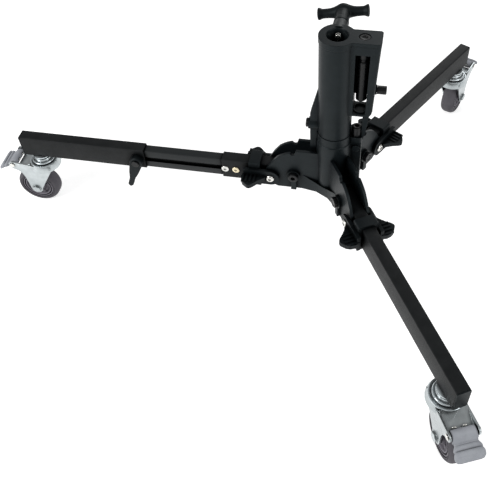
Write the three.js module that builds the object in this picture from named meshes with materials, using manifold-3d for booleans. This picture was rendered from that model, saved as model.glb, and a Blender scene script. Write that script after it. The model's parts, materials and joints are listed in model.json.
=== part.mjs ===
// Folding roller base for a lighting stand, in millimetres, +Z up, floor at z = 0.
// A hub casting carries three folding legs on braked swivel casters, and a receiver column with a
// side bracket. Leg A points along -X and telescopes, legs B and C are fixed in length.
import * as THREE from "three";
import { mergeVertices } from "three/addons/utils/BufferGeometryUtils.js";
import Module from "manifold-3d";

const wasm = await Module();
wasm.setup();

// Driving dimensions: stance
const legTop = 155;
const legReach = 405.6;
const levelReach = 537.6;
const legAzimuths = { a: 180, b: -60, c: 60 };

// Driving dimensions: fits
const gap = 0.3;
const cornerBreak = 1.2;
const headBevel = 0.9;
const slideGap = 0.4;
const cutOver = 2;

// Driving dimensions: leg tubes
const tubeWidth = 20;
const tubeHeight = 40;
const tubeWall = 1.6;
const tubeEdge = 1.6;
const plugFlange = 2;
const plugDepth = 10;
const plugEdge = 1;

// Driving dimensions: fold pivot
const pivotReach = 61;
const pivotDrop = 11;
const pivotShank = 5;
const pivotHead = 8;
const pivotHeadDepth = 5.4;
const pivotSocket = 3.4;
const pivotSocketDepth = 3.2;
const pivotNutRadius = 8.6;
const pivotNutDepth = 6;
const foldAngle = 90;

// Driving dimensions: hub casting
const cheekWall = 4.6;
const cheekSideGap = 0.6;
const cheekRise = 40;
const cheekDrop = 1.5;
const cheekHeelReach = 88;
const camRadius = 45.2;
const camWaist = 41.8;
const camAngles = {
  foot: -34,
  footEnd: -22,
  seatEnd: 10,
  dip: 17,
  dipFloor: 28,
  rise: 38,
  riseEnd: 52,
  brow: 66,
  browEnd: 80,
};
const bossRadius = 27;
const bossNeckRadius = 25.8;
const bossNeckHeight = 16;
const bossTopRise = 79;
const pivotBossRadius = 10.5;
const pivotBossDepth = 4.6;
const pivotRibHalf = 4.2;
const heelWallReach = 43.6;
const heelGap = 0.5;
const heelWallRise = 3;
const gussetReach = 48;
const gussetWaist = 19;
const gussetNear = 28;
const gussetNearHeight = 18;
const gussetFarHeight = 31;
const hubRecessRadius = 18;
const hubRecessDepth = 58;
const towerReach = 41.6;
const towerHalf = 7;
const towerBossRise = 54;
const towerBossReach = 34;
const towerBossRadius = 6;
const towerBossHalf = 9.5;

// Driving dimensions: fold lock
const lockPinRadius = 3.5;
const lockPinDrop = 1.5;
const lockSeat = 41.6;
const lockTravel = 3.6;
const seatFlare = 2;
const lockArmWall = 5.6;
const lockArmHeight = 29;
const lockArmDraft = 3.1;
const lockArmDraftReach = 107;
const lockScrewReach = 99;
const lockScrewHead = 7;
const lockScrewHeadDepth = 3.2;
const lockScrewShank = 3;
const lockScrewSocket = 2.6;
const collarStart = 116;
const collarLength = 18.5;
const collarWall = 5;
const collarEdge = 2.5;
const wingSpan = 44.5;
const wingRoot = 103;
const wingEnd = 145.5;
const wingTipReach = 131;
const wingTipRound = 5.5;
const wingRootSpan = 23;
const wingEndSpan = 31;
const wingThick = 8;
const wingRib = 2.8;
const wingRibHeight = 1.5;
const wingRibCount = 4;
const wingRibPitch = 6.4;

// Driving dimensions: telescopic leg
const sleeveReach = 181;
const railStart = 140;
const railEnd = 365;
const outerStart = 315;
const grooveHeight = 9.6;
const grooveDepth = 4;
const sleeveScrewHead = 6.4;
const sleeveScrewDepth = 1.8;
const sleeveScrewShank = 2.6;
const sleeveScrewInset = 5;
const sleeveScrewPitch = 18;

// Driving dimensions: clamp lever
const clampInset = 12.5;
const clampBossRadius = 11;
const clampBossDepth = 11;
const clampWall = 7;
const clampArm = 66;
const clampTipWidth = 9;
const clampRootWidth = 21;
const clampLean = 20;
const clampBolt = 4;
const clampBoltHead = 6.2;
const clampBoltHeadDepth = 2.4;
const clampShoeLength = 20;
const clampShoeDepth = 3;

// Driving dimensions: receiver column and side bracket
const columnRadius = 25;
const columnTop = 250;
const rimRadius = 25.8;
const rimHeight = 9;
const receiverBore = 14.4;
const receiverDepth = 120;
const mouthRadius = 15.6;
const mouthDepth = 2.4;
const bracketReach = 60.2;
const bracketFootReach = 54.6;
const bracketHalf = 15;
const bracketTopFlange = 1;
const bracketTopHeight = 5;
const bracketPlanRound = 4;
const bracketBottom = 123.4;
const bracketCorner = 11;
const windowStart = 26.5;
const windowEnd = 46.4;
const windowFootEnd = 44.6;
const windowTop = 230;
const windowBottom = 126.6;
const windowCorner = 3;
const windowBackWall = 3;
const windowBackFoot = 144;
const sillDish = 8.4;
const sillDishDepth = 1.6;
const sillRingInner = 9.4;
const sillRingOuter = 11.2;
const sillRingHeight = 1.2;
const strutStart = 41;
const strutHalf = 4.5;
const strutProfile = [[49.8, 114], [48, 99], [46.8, 84], [42.6, 69]];
const footTop = 75;
const footBottom = 66;
const footHalf = 8.5;
const footReach = 42.6;
const finTopRise = 157;
const finKneeRise = 113;
const finReach = 36;
const finHalf = 5.5;
const lugRadius = 9.5;
const lugReach = 38.5;
const lugRise = 90;
const lugHeadRadius = 7;
const lugHeadDepth = 4;
const lugShank = 3;
const lugShankDepth = 12;
const footScrewReach = 33.4;
const footScrewHead = 7;
const footScrewHeadDepth = 17;
const footScrewSocket = 3.2;
const footScrewSocketDepth = 4;
const footScrewShank = 3.5;
const footScrewShankDepth = 7;

// Driving dimensions: spigot stowed in the bracket
const spigotReach = 36.6;
const spigotRadius = 7.9;
const spigotLength = 106;
const spigotNeckRadius = 6;
const spigotNeckTop = 38;
const spigotNeckLength = 7;
const spigotRound = 3;
const spigotTopDrop = 0.6;
const spigotFit = 0.25;
const setScrewRise = 163.4;
const setScrewShank = 3;
const setScrewBoss = 7.2;
const setScrewBossDepth = 3.4;
const setScrewKnob = 6.3;
const setScrewKnobDepth = 13.4;
const setScrewSocket = 2.8;
const setScrewSocketDepth = 5;

// Driving dimensions: T handle
const handleAzimuth = 91;
const handleTilt = -8;
const handleDive = 9.4;
const screwRise = 241.2;
const screwShank = 5;
const screwTip = 8.5;
const screwDog = 4;
const screwDogLength = 2.4;
const nozzleRoot = 13.2;
const nozzleEnd = 11.2;
const nozzleReach = 47;
const handleRoot = 48.5;
const handleNeck = 10.4;
const handleCrown = 10.4;
const handleReach = 90;
const handleHalf = 37.6;
const handleGrip = 5.9;
const handleFlare = 8;
const handleFlareLength = 5;
const handleWaist = 21;
const screwInHandle = 20;

// Driving dimensions: casters
const casterInset = 26.4;
const trail = 25.9;
const wheelRadius = 37.5;
const wheelWidth = 25;
const treadRound = 4;
const coreRadius = 28;
const coreGroove = 2.2;
const hubRadius = 10;
const hubWidth = 27;
const coreWeb = 14;
const axleRadius = 4;
const axleHead = 7;
const axleHeadDepth = 3.6;
const forkWall = 2.6;
const forkGap = 1.2;
const forkEyeRadius = 11;
const forkLean = 3.3;
const crownRadius = 27;
const crownDomeRadius = 22.5;
const crownDepth = 3;
const crownSkirt = 12.4;
const crownSkirtWall = 3;
const crownBeak = 43.6;
const crownBeakDrop = 7;
const raceTopRadius = 15.5;
const raceRadius = 20.2;
const raceDepth = 13.4;
const raceLip = 3;
const stemRadius = 5;
const stemNutRadius = 8;
const stemNutDepth = 7;
const pedalPinReach = 52.5;
const pedalPinRise = 97.5;
const pedalPinRadius = 2.4;
const pedalPinHead = 4.4;
const pedalPinHeadDepth = 1.6;
const pedalHalf = 20.3;
const pedalBore = 0.25;
const pedalEar = 6.6;
const pedalBarrel = 7;
const pedalBarrelAngles = { from: -108, to: 45 };
const pedalNeckReach = 64;
const pedalNeckHalf = 15.4;
const pedalTreadReach = 70;
const pedalTreadRise = 94;
const pedalDipReach = 74.2;
const pedalDipHalf = 18.2;
const pedalTip = 82.6;
const pedalTipRise = 82;
const pedalThick = 8;
const pedalTaper = 3.2;
const pedalSideGap = 0.6;
const headings = { a: 181.4, b: -66, c: 68 };

// Segment counts and share values
const roundSegments = 28;
const smallSegments = 12;
const tinySegments = 8;
const curveSteps = 3;
const wheelSegments = 28;
const meshTolerance = 0.04;
const wingRibSpanShare = 0.7;
const forkRootShare = 0.64;
const forkWaistShare = 0.3;
const handleCrownShare = 0.26;

// Derived places
const tubeHalf = tubeWidth / 2;
const pivotRise = legTop - pivotDrop;
const legMid = legTop - tubeHeight / 2;
const cheekInner = tubeHalf + cheekSideGap;
const cheekOuter = cheekInner + cheekWall;
const cheekTop = legTop + cheekRise;
const cheekBottom = legTop - tubeHeight - cheekDrop;
const bossTop = legTop + bossTopRise;
const rimTop = legTop + columnTop;
const heelReach = heelWallReach + heelGap;
const seatRadius = lockSeat + lockPinRadius + gap;
const pinRadius = seatRadius + lockTravel;
const pinRise = pivotRise - lockPinDrop;
const pinReach = pivotReach + Math.sqrt(pinRadius ** 2 - lockPinDrop ** 2);
const seatAngle = -THREE.MathUtils.radToDeg(Math.asin(lockPinDrop / pinRadius));
const lockArmInner = cheekOuter + cheekSideGap;
const lockArmOuter = lockArmInner + lockArmWall;
const wheelRise = wheelRadius;
const casterTop = legTop - tubeHeight;

const colours = {
  blackCoat: { color: 0x23272b, roughness: 0.55, metalness: 0.1 },
  legCoat: { color: 0x2b2c2e, roughness: 0.6, metalness: 0.1 },
  railCoat: { color: 0x33363a, roughness: 0.45, metalness: 0.4 },
  blackPlastic: { color: 0x1e2124, roughness: 0.5, metalness: 0 },
  zinc: { color: 0xd9dde0, roughness: 0.25, metalness: 0.9 },
  brassTint: { color: 0xd8c07a, roughness: 0.3, metalness: 0.9 },
  darkSteel: { color: 0x2c3034, roughness: 0.35, metalness: 0.8 },
  tyreGrey: { color: 0x6f6b75, roughness: 0.75, metalness: 0 },
  coreGrey: { color: 0x89858f, roughness: 0.6, metalness: 0 },
  pedalGrey: { color: 0x808184, roughness: 0.55, metalness: 0 },
};

// Solid modelling helpers

// Turns a closed geometry into a solid; only the positions are kept.
function solid(geometry) {
  const bare = geometry.index ? geometry.toNonIndexed() : geometry.clone();
  bare.deleteAttribute("normal");
  bare.deleteAttribute("uv");
  const merged = mergeVertices(bare, 1e-4);
  const mesh = new wasm.Mesh({
    numProp: 3,
    vertProperties: new Float32Array(merged.attributes.position.array),
    triVerts: new Uint32Array(merged.index.array),
  });
  return new wasm.Manifold(mesh);
}

function geometryOf(body) {
  const mesh = body.simplify(meshTolerance).getMesh();
  const geometry = new THREE.BufferGeometry();
  geometry.setAttribute("position", new THREE.BufferAttribute(mesh.vertProperties, 3));
  geometry.setIndex(new THREE.BufferAttribute(mesh.triVerts, 1));
  geometry.computeVertexNormals();
  return geometry;
}

function join(...bodies) {
  return bodies.reduce((sum, body) => sum.add(body));
}

function cut(body, ...tools) {
  return tools.reduce((rest, tool) => rest.subtract(tool), body);
}

// A revolve about +Z from (radius, height) pairs that close on the axis or on themselves.
function turned(profile, segments = roundSegments) {
  const points = profile.map(([r, z]) => new THREE.Vector2(r, z));
  const geometry = new THREE.LatheGeometry(points, segments);
  geometry.rotateX(Math.PI / 2);
  return solid(geometry);
}

// A closed (radius, height) ring profile.
function ring(inner, outer, low, high, segments = roundSegments) {
  return turned([[inner, low], [outer, low], [outer, high], [inner, high], [inner, low]], segments);
}

// A rod about +Z between two heights, with an optional chamfer at the top.
function rod(radius, low, high, segments = smallSegments, chamfer = 0) {
  const profile = [[0, low], [radius, low], [radius, high - chamfer]];
  if (chamfer > 0) profile.push([radius - chamfer, high]);
  profile.push([0, high]);
  return turned(profile, segments);
}

// A hexagonal prism about +Z, for nuts and key sockets.
function hexagon(radius, low, high) {
  return rod(radius, low, high, 6);
}

function block(x0, x1, y0, y1, z0, z1) {
  const geometry = new THREE.BoxGeometry(x1 - x0, y1 - y0, z1 - z0);
  geometry.translate((x0 + x1) / 2, (y0 + y1) / 2, (z0 + z1) / 2);
  return solid(geometry);
}

// A flat outline in x and z, made solid between two y values.
function plateXZ(shape, y0, y1, curveSegments = curveSteps) {
  const geometry = new THREE.ExtrudeGeometry(shape, {
    depth: y1 - y0,
    bevelEnabled: false,
    curveSegments,
  });
  geometry.rotateX(Math.PI / 2);
  geometry.translate(0, y1, 0);
  return solid(geometry);
}

// A flat outline in x and y, made solid between two z values.
function plateXY(shape, z0, z1, curveSegments = curveSteps) {
  const geometry = new THREE.ExtrudeGeometry(shape, {
    depth: z1 - z0,
    bevelEnabled: false,
    curveSegments,
  });
  geometry.translate(0, 0, z0);
  return solid(geometry);
}

function outline(points) {
  return new THREE.Shape(points.map(([x, y]) => new THREE.Vector2(x, y)));
}

function roundedBox(x0, x1, y0, y1, radius) {
  const shape = new THREE.Shape();
  shape.moveTo(x0 + radius, y0);
  shape.lineTo(x1 - radius, y0);
  shape.absarc(x1 - radius, y0 + radius, radius, -Math.PI / 2, 0, false);
  shape.lineTo(x1, y1 - radius);
  shape.absarc(x1 - radius, y1 - radius, radius, 0, Math.PI / 2, false);
  shape.lineTo(x0 + radius, y1);
  shape.absarc(x0 + radius, y1 - radius, radius, Math.PI / 2, Math.PI, false);
  shape.lineTo(x0, y0 + radius);
  shape.absarc(x0 + radius, y0 + radius, radius, Math.PI, Math.PI * 1.5, false);
  return shape;
}

// Moves a solid that was made about +Z so that it runs along +Y or +X through a point.
function alongY(body, x, z) {
  return body.rotate([-90, 0, 0]).translate([x, 0, z]);
}

function alongX(body, y, z) {
  return body.rotate([0, 90, 0]).translate([0, y, z]);
}

const object = new THREE.Group();

function addPiece(parent, name, body, finish) {
  const mesh = new THREE.Mesh(geometryOf(body), new THREE.MeshStandardMaterial(colours[finish]));
  mesh.name = name;
  parent.add(mesh);
  return mesh;
}

function turnedGroup(parent, degrees, x = 0) {
  const group = new THREE.Group();
  group.rotation.z = THREE.MathUtils.degToRad(degrees);
  group.position.x = x;
  parent.add(group);
  return group;
}

// Hub casting

// A point at a distance and angle from the fold pivot, in the leg's own side view.
function fromPivot(radius, degrees) {
  const angle = THREE.MathUtils.degToRad(degrees);
  return [pivotReach + radius * Math.cos(angle), pivotRise + radius * Math.sin(angle)];
}

// Cuts a lock seat into the cam rim: a round-bottomed slot that runs the way the pin slides, at
// the place where the pin stands when the leg is folded by the given angle.
function seatSlot(fold) {
  const half = lockPinRadius + gap;
  const centre = pinReach - lockTravel - pivotReach;
  const shape = new THREE.Shape();
  shape.moveTo(centre + lockTravel * 2, -lockPinDrop + half + seatFlare);
  shape.lineTo(centre, -lockPinDrop + half);
  shape.absarc(centre, -lockPinDrop, half, Math.PI / 2, Math.PI * 1.5, false);
  shape.lineTo(centre + lockTravel * 2, -lockPinDrop - half - seatFlare);
  return plateXZ(shape, -tubeWidth, tubeWidth)
    .rotate([0, -fold, 0])
    .translate([pivotReach, 0, pivotRise]);
}

// One cheek seen from the side: a flat top, the step behind the fold seat, the cam rim that is
// round about the pivot, and a flat bottom.
function cheekOutline() {
  const [stepX, stepZ] = fromPivot(seatRadius, foldAngle + seatAngle);
  const wallX = stepX - lockPinRadius - gap;
  const shape = new THREE.Shape();
  shape.moveTo(bossRadius / 2, cheekBottom);
  shape.lineTo(cheekHeelReach, cheekBottom);
  shape.quadraticCurveTo(
    ...fromPivot(camRadius, camAngles.foot), ...fromPivot(camRadius, camAngles.footEnd),
  );
  shape.lineTo(...fromPivot(camRadius, seatAngle));
  shape.lineTo(...fromPivot(camRadius, camAngles.seatEnd));
  shape.quadraticCurveTo(
    ...fromPivot(camWaist, camAngles.dip), ...fromPivot(camWaist, camAngles.dipFloor),
  );
  shape.quadraticCurveTo(
    ...fromPivot(camWaist, camAngles.rise), ...fromPivot(camWaist + cornerBreak, camAngles.riseEnd),
  );
  shape.quadraticCurveTo(
    ...fromPivot(camRadius - gap, camAngles.brow), ...fromPivot(camRadius, camAngles.browEnd),
  );
  shape.lineTo(stepX, stepZ);
  shape.lineTo(wallX, stepZ);
  shape.lineTo(wallX, cheekTop - cornerBreak);
  shape.lineTo(wallX - cornerBreak, cheekTop);
  shape.lineTo(bossRadius / 2, cheekTop);
  return shape;
}

// Concave fillet web between two arms, low on the hub, in plan.
function gussetOutline() {
  const half = cheekOuter;
  const turn = THREE.MathUtils.degToRad(120);
  const shape = new THREE.Shape();
  shape.moveTo(0, 0);
  shape.lineTo(gussetReach, half);
  shape.quadraticCurveTo(
    gussetWaist * Math.cos(turn / 2),
    gussetWaist * Math.sin(turn / 2),
    gussetReach * Math.cos(turn) + half * Math.sin(turn),
    gussetReach * Math.sin(turn) - half * Math.cos(turn),
  );
  return shape;
}

// The webs fall away towards the middle between two arms, so their top is a shallow cone.
function gussetCone() {
  return turned([
    [0, cheekBottom],
    [gussetReach + gussetNear, cheekBottom],
    [gussetReach + gussetNear, cheekBottom + gussetFarHeight],
    [gussetReach, cheekBottom + gussetFarHeight],
    [gussetNear, cheekBottom + gussetNearHeight],
    [0, cheekBottom + gussetNearHeight],
  ]);
}

// The tower between legs B and C that the column's foot is screwed down on.
function screwTower() {
  const top = legTop + footBottom - gap;
  const tower = block(bossRadius - cutOver, towerReach, -towerHalf, towerHalf, cheekBottom, top);
  const boss = alongY(
    rod(towerBossRadius, -towerBossHalf, towerBossHalf), towerBossReach, legTop + towerBossRise,
  );
  return join(tower, boss);
}

function hubCasting() {
  const neckStart = bossTop - bossNeckHeight;
  let hub = turned([
    [0, cheekBottom],
    [bossRadius, cheekBottom],
    [bossRadius, neckStart],
    [bossNeckRadius, neckStart + bossRadius - bossNeckRadius],
    [bossNeckRadius, bossTop],
    [0, bossTop],
  ]);
  const boreCut = pivotShank + gap;
  const holes = [];
  for (const degrees of Object.values(legAzimuths)) {
    let arm = plateXZ(cheekOutline(), -cheekOuter, cheekOuter);
    const bossHalf = cheekOuter + pivotBossDepth;
    const ribs = block(
      pivotReach - pivotRibHalf, pivotReach + pivotRibHalf, -bossHalf, bossHalf, cheekBottom, pivotRise,
    );
    const bosses = alongY(
      rod(pivotBossRadius, -bossHalf, bossHalf, roundSegments), pivotReach, pivotRise,
    );
    const channel = block(
      heelWallReach,
      pivotReach + camRadius + cutOver,
      -cheekInner,
      cheekInner,
      cheekBottom - cutOver,
      cheekTop + cutOver,
    );
    const pit = block(
      bossRadius - cutOver,
      heelReach,
      -cheekInner,
      cheekInner,
      legTop + heelWallRise,
      cheekTop + cutOver,
    );
    arm = cut(
      join(arm, ribs, bosses), channel, pit, seatSlot(0), seatSlot(foldAngle),
    );
    const through = cheekOuter + pivotBossDepth + cutOver;
    holes.push(alongY(rod(boreCut, -through, through), pivotReach, pivotRise).rotate([0, 0, degrees]));
    const gusset = plateXY(gussetOutline(), cheekBottom, cheekBottom + gussetFarHeight);
    hub = join(hub, arm.rotate([0, 0, degrees]), gusset.intersect(gussetCone()).rotate([0, 0, degrees]));
  }
  hub = join(hub, screwTower());
  const recess = rod(hubRecessRadius, cheekBottom - cutOver, cheekBottom + hubRecessDepth, roundSegments);
  const footHole = footScrewHole();
  return cut(hub, recess, footHole, ...holes);
}

function footScrewHole() {
  const low = legTop + footBottom - footScrewShankDepth - cutOver;
  const high = legTop + footTop + cutOver;
  return rod(footScrewShank + gap, low, high).translate([footScrewReach, 0, 0]);
}

// Receiver column with its side bracket, strut and back fin

function columnBody() {
  const top = rimTop;
  const boreFloor = top - receiverDepth;
  return turned([
    [0, bossTop + gap],
    [columnRadius, bossTop + gap],
    [columnRadius, top - rimHeight - rimRadius + columnRadius],
    [rimRadius, top - rimHeight],
    [rimRadius, top],
    [mouthRadius, top],
    [receiverBore, top - mouthDepth],
    [receiverBore, boreFloor],
    [0, boreFloor],
  ], roundSegments);
}

function bracketBody() {
  const top = rimTop;
  const bottom = legTop + bracketBottom;
  const shape = new THREE.Shape();
  shape.moveTo(receiverBore + cutOver, bottom);
  shape.lineTo(bracketFootReach - bracketCorner, bottom);
  shape.quadraticCurveTo(bracketFootReach, bottom, bracketFootReach, bottom + bracketCorner);
  shape.lineTo(bracketReach, top);
  shape.lineTo(receiverBore + cutOver, top);
  const windowShape = new THREE.Path();
  const w = windowCorner;
  windowShape.moveTo(windowStart + w, legTop + windowBottom);
  windowShape.lineTo(windowFootEnd - w, legTop + windowBottom);
  windowShape.quadraticCurveTo(
    windowFootEnd, legTop + windowBottom, windowFootEnd, legTop + windowBottom + w,
  );
  windowShape.lineTo(windowEnd, legTop + windowTop);
  windowShape.lineTo(windowStart, legTop + windowTop);
  windowShape.lineTo(windowStart, legTop + windowBottom + w);
  windowShape.quadraticCurveTo(
    windowStart, legTop + windowBottom, windowStart + w, legTop + windowBottom,
  );
  shape.holes.push(windowShape);
  const rounded = roundedBox(
    receiverBore, bracketReach, -bracketHalf, bracketHalf, bracketPlanRound,
  );
  const slope = (bracketReach - bracketFootReach) / (top - bottom);
  const leaning = plateXY(rounded, bottom, top).transform([
    1, 0, 0, 0, 0, 1, 0, 0, slope, 0, 1, 0, -slope * top, 0, 0, 1,
  ]);
  const frame = plateXZ(shape, -bracketHalf, bracketHalf).intersect(leaning);
  const plan = roundedBox(
    receiverBore + cutOver,
    bracketReach,
    -bracketHalf - bracketTopFlange,
    bracketHalf + bracketTopFlange,
    bracketPlanRound,
  );
  const cap = plateXY(plan, top - bracketTopHeight, top);
  const boss = alongX(
    rod(setScrewBoss, windowEnd, bracketFootReach + setScrewBossDepth, smallSegments),
    0,
    legTop + setScrewRise,
  );
  const back = block(
    windowStart - cutOver,
    windowEnd + cutOver,
    bracketHalf - windowBackWall,
    bracketHalf,
    legTop + windowBackFoot,
    legTop + windowTop + cutOver,
  );
  const sill = legTop + windowBottom;
  const sillRing = ring(sillRingInner, sillRingOuter, sill - cutOver, sill + sillRingHeight)
    .translate([spigotReach, 0, 0]);
  const dish = rod(sillDish, sill - sillDishDepth, sill + cutOver).translate([spigotReach, 0, 0]);
  return cut(join(frame, cap, boss, back, sillRing), dish);
}

// The strut under the bracket and the foot that is screwed down on the hub's tower.
function strutBody() {
  const shape = new THREE.Shape();
  shape.moveTo(strutStart, legTop + bracketBottom + cutOver);
  shape.lineTo(bracketFootReach - gap, legTop + bracketBottom + cutOver);
  for (const [x, z] of strutProfile) shape.lineTo(x, legTop + z);
  shape.lineTo(strutStart - cutOver, legTop + footBottom);
  shape.lineTo(strutStart, legTop + footTop);
  const foot = roundedBox(columnRadius - cutOver, footReach, -footHalf, footHalf, footHalf / 2);
  return join(
    plateXZ(shape, -strutHalf, strutHalf),
    plateXY(foot, legTop + footBottom, legTop + footTop),
  );
}

// The fin down the back with the round pad boss that the folded leg leans towards.
function finBody() {
  const shape = outline([
    [columnRadius - cutOver, legTop + cheekRise + gap],
    [finReach, legTop + cheekRise + gap],
    [finReach, legTop + finKneeRise],
    [columnRadius, legTop + finTopRise],
    [columnRadius - cutOver, legTop + finTopRise],
  ]);
  const fin = plateXZ(shape, -finHalf, finHalf);
  const boss = alongX(rod(lugRadius, columnRadius - cutOver, lugReach, smallSegments), 0, legTop + lugRise);
  return join(fin, boss).rotate([0, 0, legAzimuths.a]);
}

// The clamping screw's axis starts in the receiver and dives a little on its way out.
function onScrewAxis(body) {
  return body
    .rotate([0, 90 + handleDive, 0])
    .translate([0, 0, legTop + screwRise])
    .rotate([0, 0, handleAzimuth]);
}

function receiverCasting() {
  const nozzle = turned([
    [0, receiverBore + cutOver],
    [nozzleRoot, receiverBore + cutOver],
    [nozzleRoot, columnRadius],
    [nozzleEnd, nozzleReach],
    [0, nozzleReach],
  ], smallSegments * 2);
  const nozzleBore = rod(screwShank + gap, 0, nozzleReach + cutOver);
  let body = join(columnBody(), bracketBody(), strutBody(), finBody(), onScrewAxis(nozzle));
  const bore = rod(receiverBore, rimTop - receiverDepth, rimTop + cutOver, roundSegments);
  const mouth = turned([
    [0, rimTop - mouthDepth],
    [receiverBore, rimTop - mouthDepth],
    [mouthRadius, rimTop],
    [mouthRadius, rimTop + cutOver],
    [0, rimTop + cutOver],
  ]);
  const spigotBore = rod(
    spigotRadius + spigotFit, legTop + windowTop - cutOver, rimTop + cutOver, roundSegments,
  ).translate([spigotReach, 0, 0]);
  const setScrewBore = alongX(
    rod(setScrewShank + gap, windowFootEnd - cutOver, bracketReach + cutOver),
    0,
    legTop + setScrewRise,
  );
  const neckStart = bossTop - bossNeckHeight;
  const bossNeck = turned([
    [0, legTop + cheekRise],
    [bossRadius + gap, legTop + cheekRise],
    [bossRadius + gap, neckStart + gap],
    [bossNeckRadius + gap, neckStart + bossRadius - bossNeckRadius + gap],
    [bossNeckRadius + gap, bossTop + gap],
    [0, bossTop + gap],
  ]);
  const lugBore = alongX(
    rod(lugShank + gap, lugReach - lugShankDepth, lugReach + cutOver),
    0,
    legTop + lugRise,
  ).rotate([0, 0, legAzimuths.a]);
  body = cut(body, bore, mouth, spigotBore, setScrewBore, bossNeck, lugBore);
  return cut(body, onScrewAxis(nozzleBore), footScrewHole());
}

function columnParts(parent) {
  addPiece(parent, "hub_casting", hubCasting(), "blackCoat");
  addPiece(parent, "receiver_column", receiverCasting(), "blackCoat");
  const seat = legTop + footTop + gap;
  const footScrew = cut(
    join(
      rod(footScrewHead, seat, seat + footScrewHeadDepth, smallSegments, gap * 2),
      rod(footScrewShank, legTop + footBottom - footScrewShankDepth, seat + cutOver),
    ),
    hexagon(footScrewSocket, seat + footScrewHeadDepth - footScrewSocketDepth, rimTop),
  ).translate([footScrewReach, 0, 0]);
  addPiece(parent, "foot_screw", footScrew, "darkSteel");
  const lugScrew = alongX(
    join(
      rod(lugHeadRadius, lugReach + gap, lugReach + gap + lugHeadDepth, smallSegments, headBevel),
      rod(lugShank, lugReach - lugShankDepth + gap, lugReach + cutOver),
    ),
    0,
    legTop + lugRise,
  ).rotate([0, 0, legAzimuths.a]);
  addPiece(parent, "column_screw", lugScrew, "darkSteel");
}

function spigotBody() {
  const top = rimTop - spigotTopDrop;
  const bottom = top - spigotLength;
  const neckTop = top - spigotNeckTop + spigotNeckLength;
  const neckLow = neckTop - spigotNeckLength;
  const r = spigotRadius;
  return turned([
    [0, bottom],
    [r - spigotRound, bottom],
    [r, bottom + spigotRound],
    [r, neckLow],
    [spigotNeckRadius, neckLow + r - spigotNeckRadius],
    [spigotNeckRadius, neckTop - r + spigotNeckRadius],
    [r, neckTop],
    [r, top - gap * 2],
    [r - gap * 2, top],
    [0, top],
  ], roundSegments / 2).translate([spigotReach, 0, 0]);
}

function setScrewBody() {
  const tip = spigotReach + spigotRadius + gap;
  const seat = bracketFootReach + setScrewBossDepth + gap;
  const knob = rod(setScrewKnob, seat, seat + setScrewKnobDepth, smallSegments, headBevel);
  const shank = rod(setScrewShank, tip, seat + cutOver);
  const socket = hexagon(
    setScrewSocket, seat + setScrewKnobDepth - setScrewSocketDepth, seat + setScrewKnobDepth + cutOver,
  );
  return alongX(cut(join(knob, shank), socket), 0, legTop + setScrewRise);
}

// The moulded T handle: a neck on the screw and a bar with a crown and flared ends.
function handleBody() {
  const crown = handleHalf * handleCrownShare;
  const bar = turned([
    [0, -handleHalf],
    [handleFlare, -handleHalf],
    [handleFlare, -handleHalf + gap * 2],
    [handleGrip, -handleHalf + handleFlareLength],
    [handleGrip, -handleWaist],
    [handleCrown, -crown],
    [handleCrown, crown],
    [handleGrip, handleWaist],
    [handleGrip, handleHalf - handleFlareLength],
    [handleFlare, handleHalf - gap * 2],
    [handleFlare, handleHalf],
    [0, handleHalf],
  ], smallSegments);
  const neck = turned([
    [0, handleRoot],
    [handleNeck, handleRoot],
    [handleNeck, handleRoot + handleNeck],
    [handleCrown, handleReach - handleCrown / 2],
    [0, handleReach],
  ], smallSegments);
  const socket = rod(screwShank + gap, handleRoot - cutOver, handleRoot + screwInHandle + gap);
  const upright = bar.rotate([90, 0, 0]).rotate([0, 0, handleTilt]).translate([0, 0, handleReach]);
  return cut(join(upright, neck), socket);
}

function clampScrewParts(parent) {
  const screw = turned([
    [0, screwTip],
    [screwDog, screwTip],
    [screwDog, screwTip + screwDogLength],
    [screwShank, screwTip + screwDogLength + screwShank - screwDog],
    [screwShank, handleRoot + screwInHandle],
    [0, handleRoot + screwInHandle],
  ], smallSegments);
  addPiece(parent, "t_handle", onScrewAxis(handleBody()), "blackPlastic");
  addPiece(parent, "clamp_screw", onScrewAxis(screw), "zinc");
}

// Legs

function tubeSection(width, height, edge) {
  return roundedBox(-width / 2, width / 2, -height / 2, height / 2, edge);
}

// A rectangular tube along +X between two reaches, centred on the leg's mid height.
function rectangularTube(start, end, width, height, wall, edge) {
  const shape = tubeSection(height, width, edge);
  if (wall > 0) {
    const inner = tubeSection(height - wall * 2, width - wall * 2, Math.max(edge - wall, gap));
    shape.holes.push(new THREE.Path(inner.getPoints(2)));
  }
  const geometry = new THREE.ExtrudeGeometry(shape, {
    depth: end - start,
    bevelEnabled: false,
    curveSegments: 2,
  });
  geometry.rotateY(Math.PI / 2);
  geometry.translate(start, 0, legMid);
  return solid(geometry);
}

// The heel of a leg: rounded above so that it can turn past the hub, square below so that it
// stops against the heel wall.
function heelCutter() {
  const r = pivotReach - heelReach;
  const start = Math.PI - Math.asin(pivotDrop / r);
  const shape = new THREE.Shape();
  shape.moveTo(heelReach - cutOver, pivotRise);
  shape.lineTo(heelReach, pivotRise);
  shape.absarc(pivotReach, pivotRise, r, Math.PI, start, true);
  shape.lineTo(pivotReach + r * Math.cos(start), legTop + cutOver);
  shape.lineTo(heelReach - cutOver, legTop + cutOver);
  return plateXZ(shape, -tubeWidth, tubeWidth);
}

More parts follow.
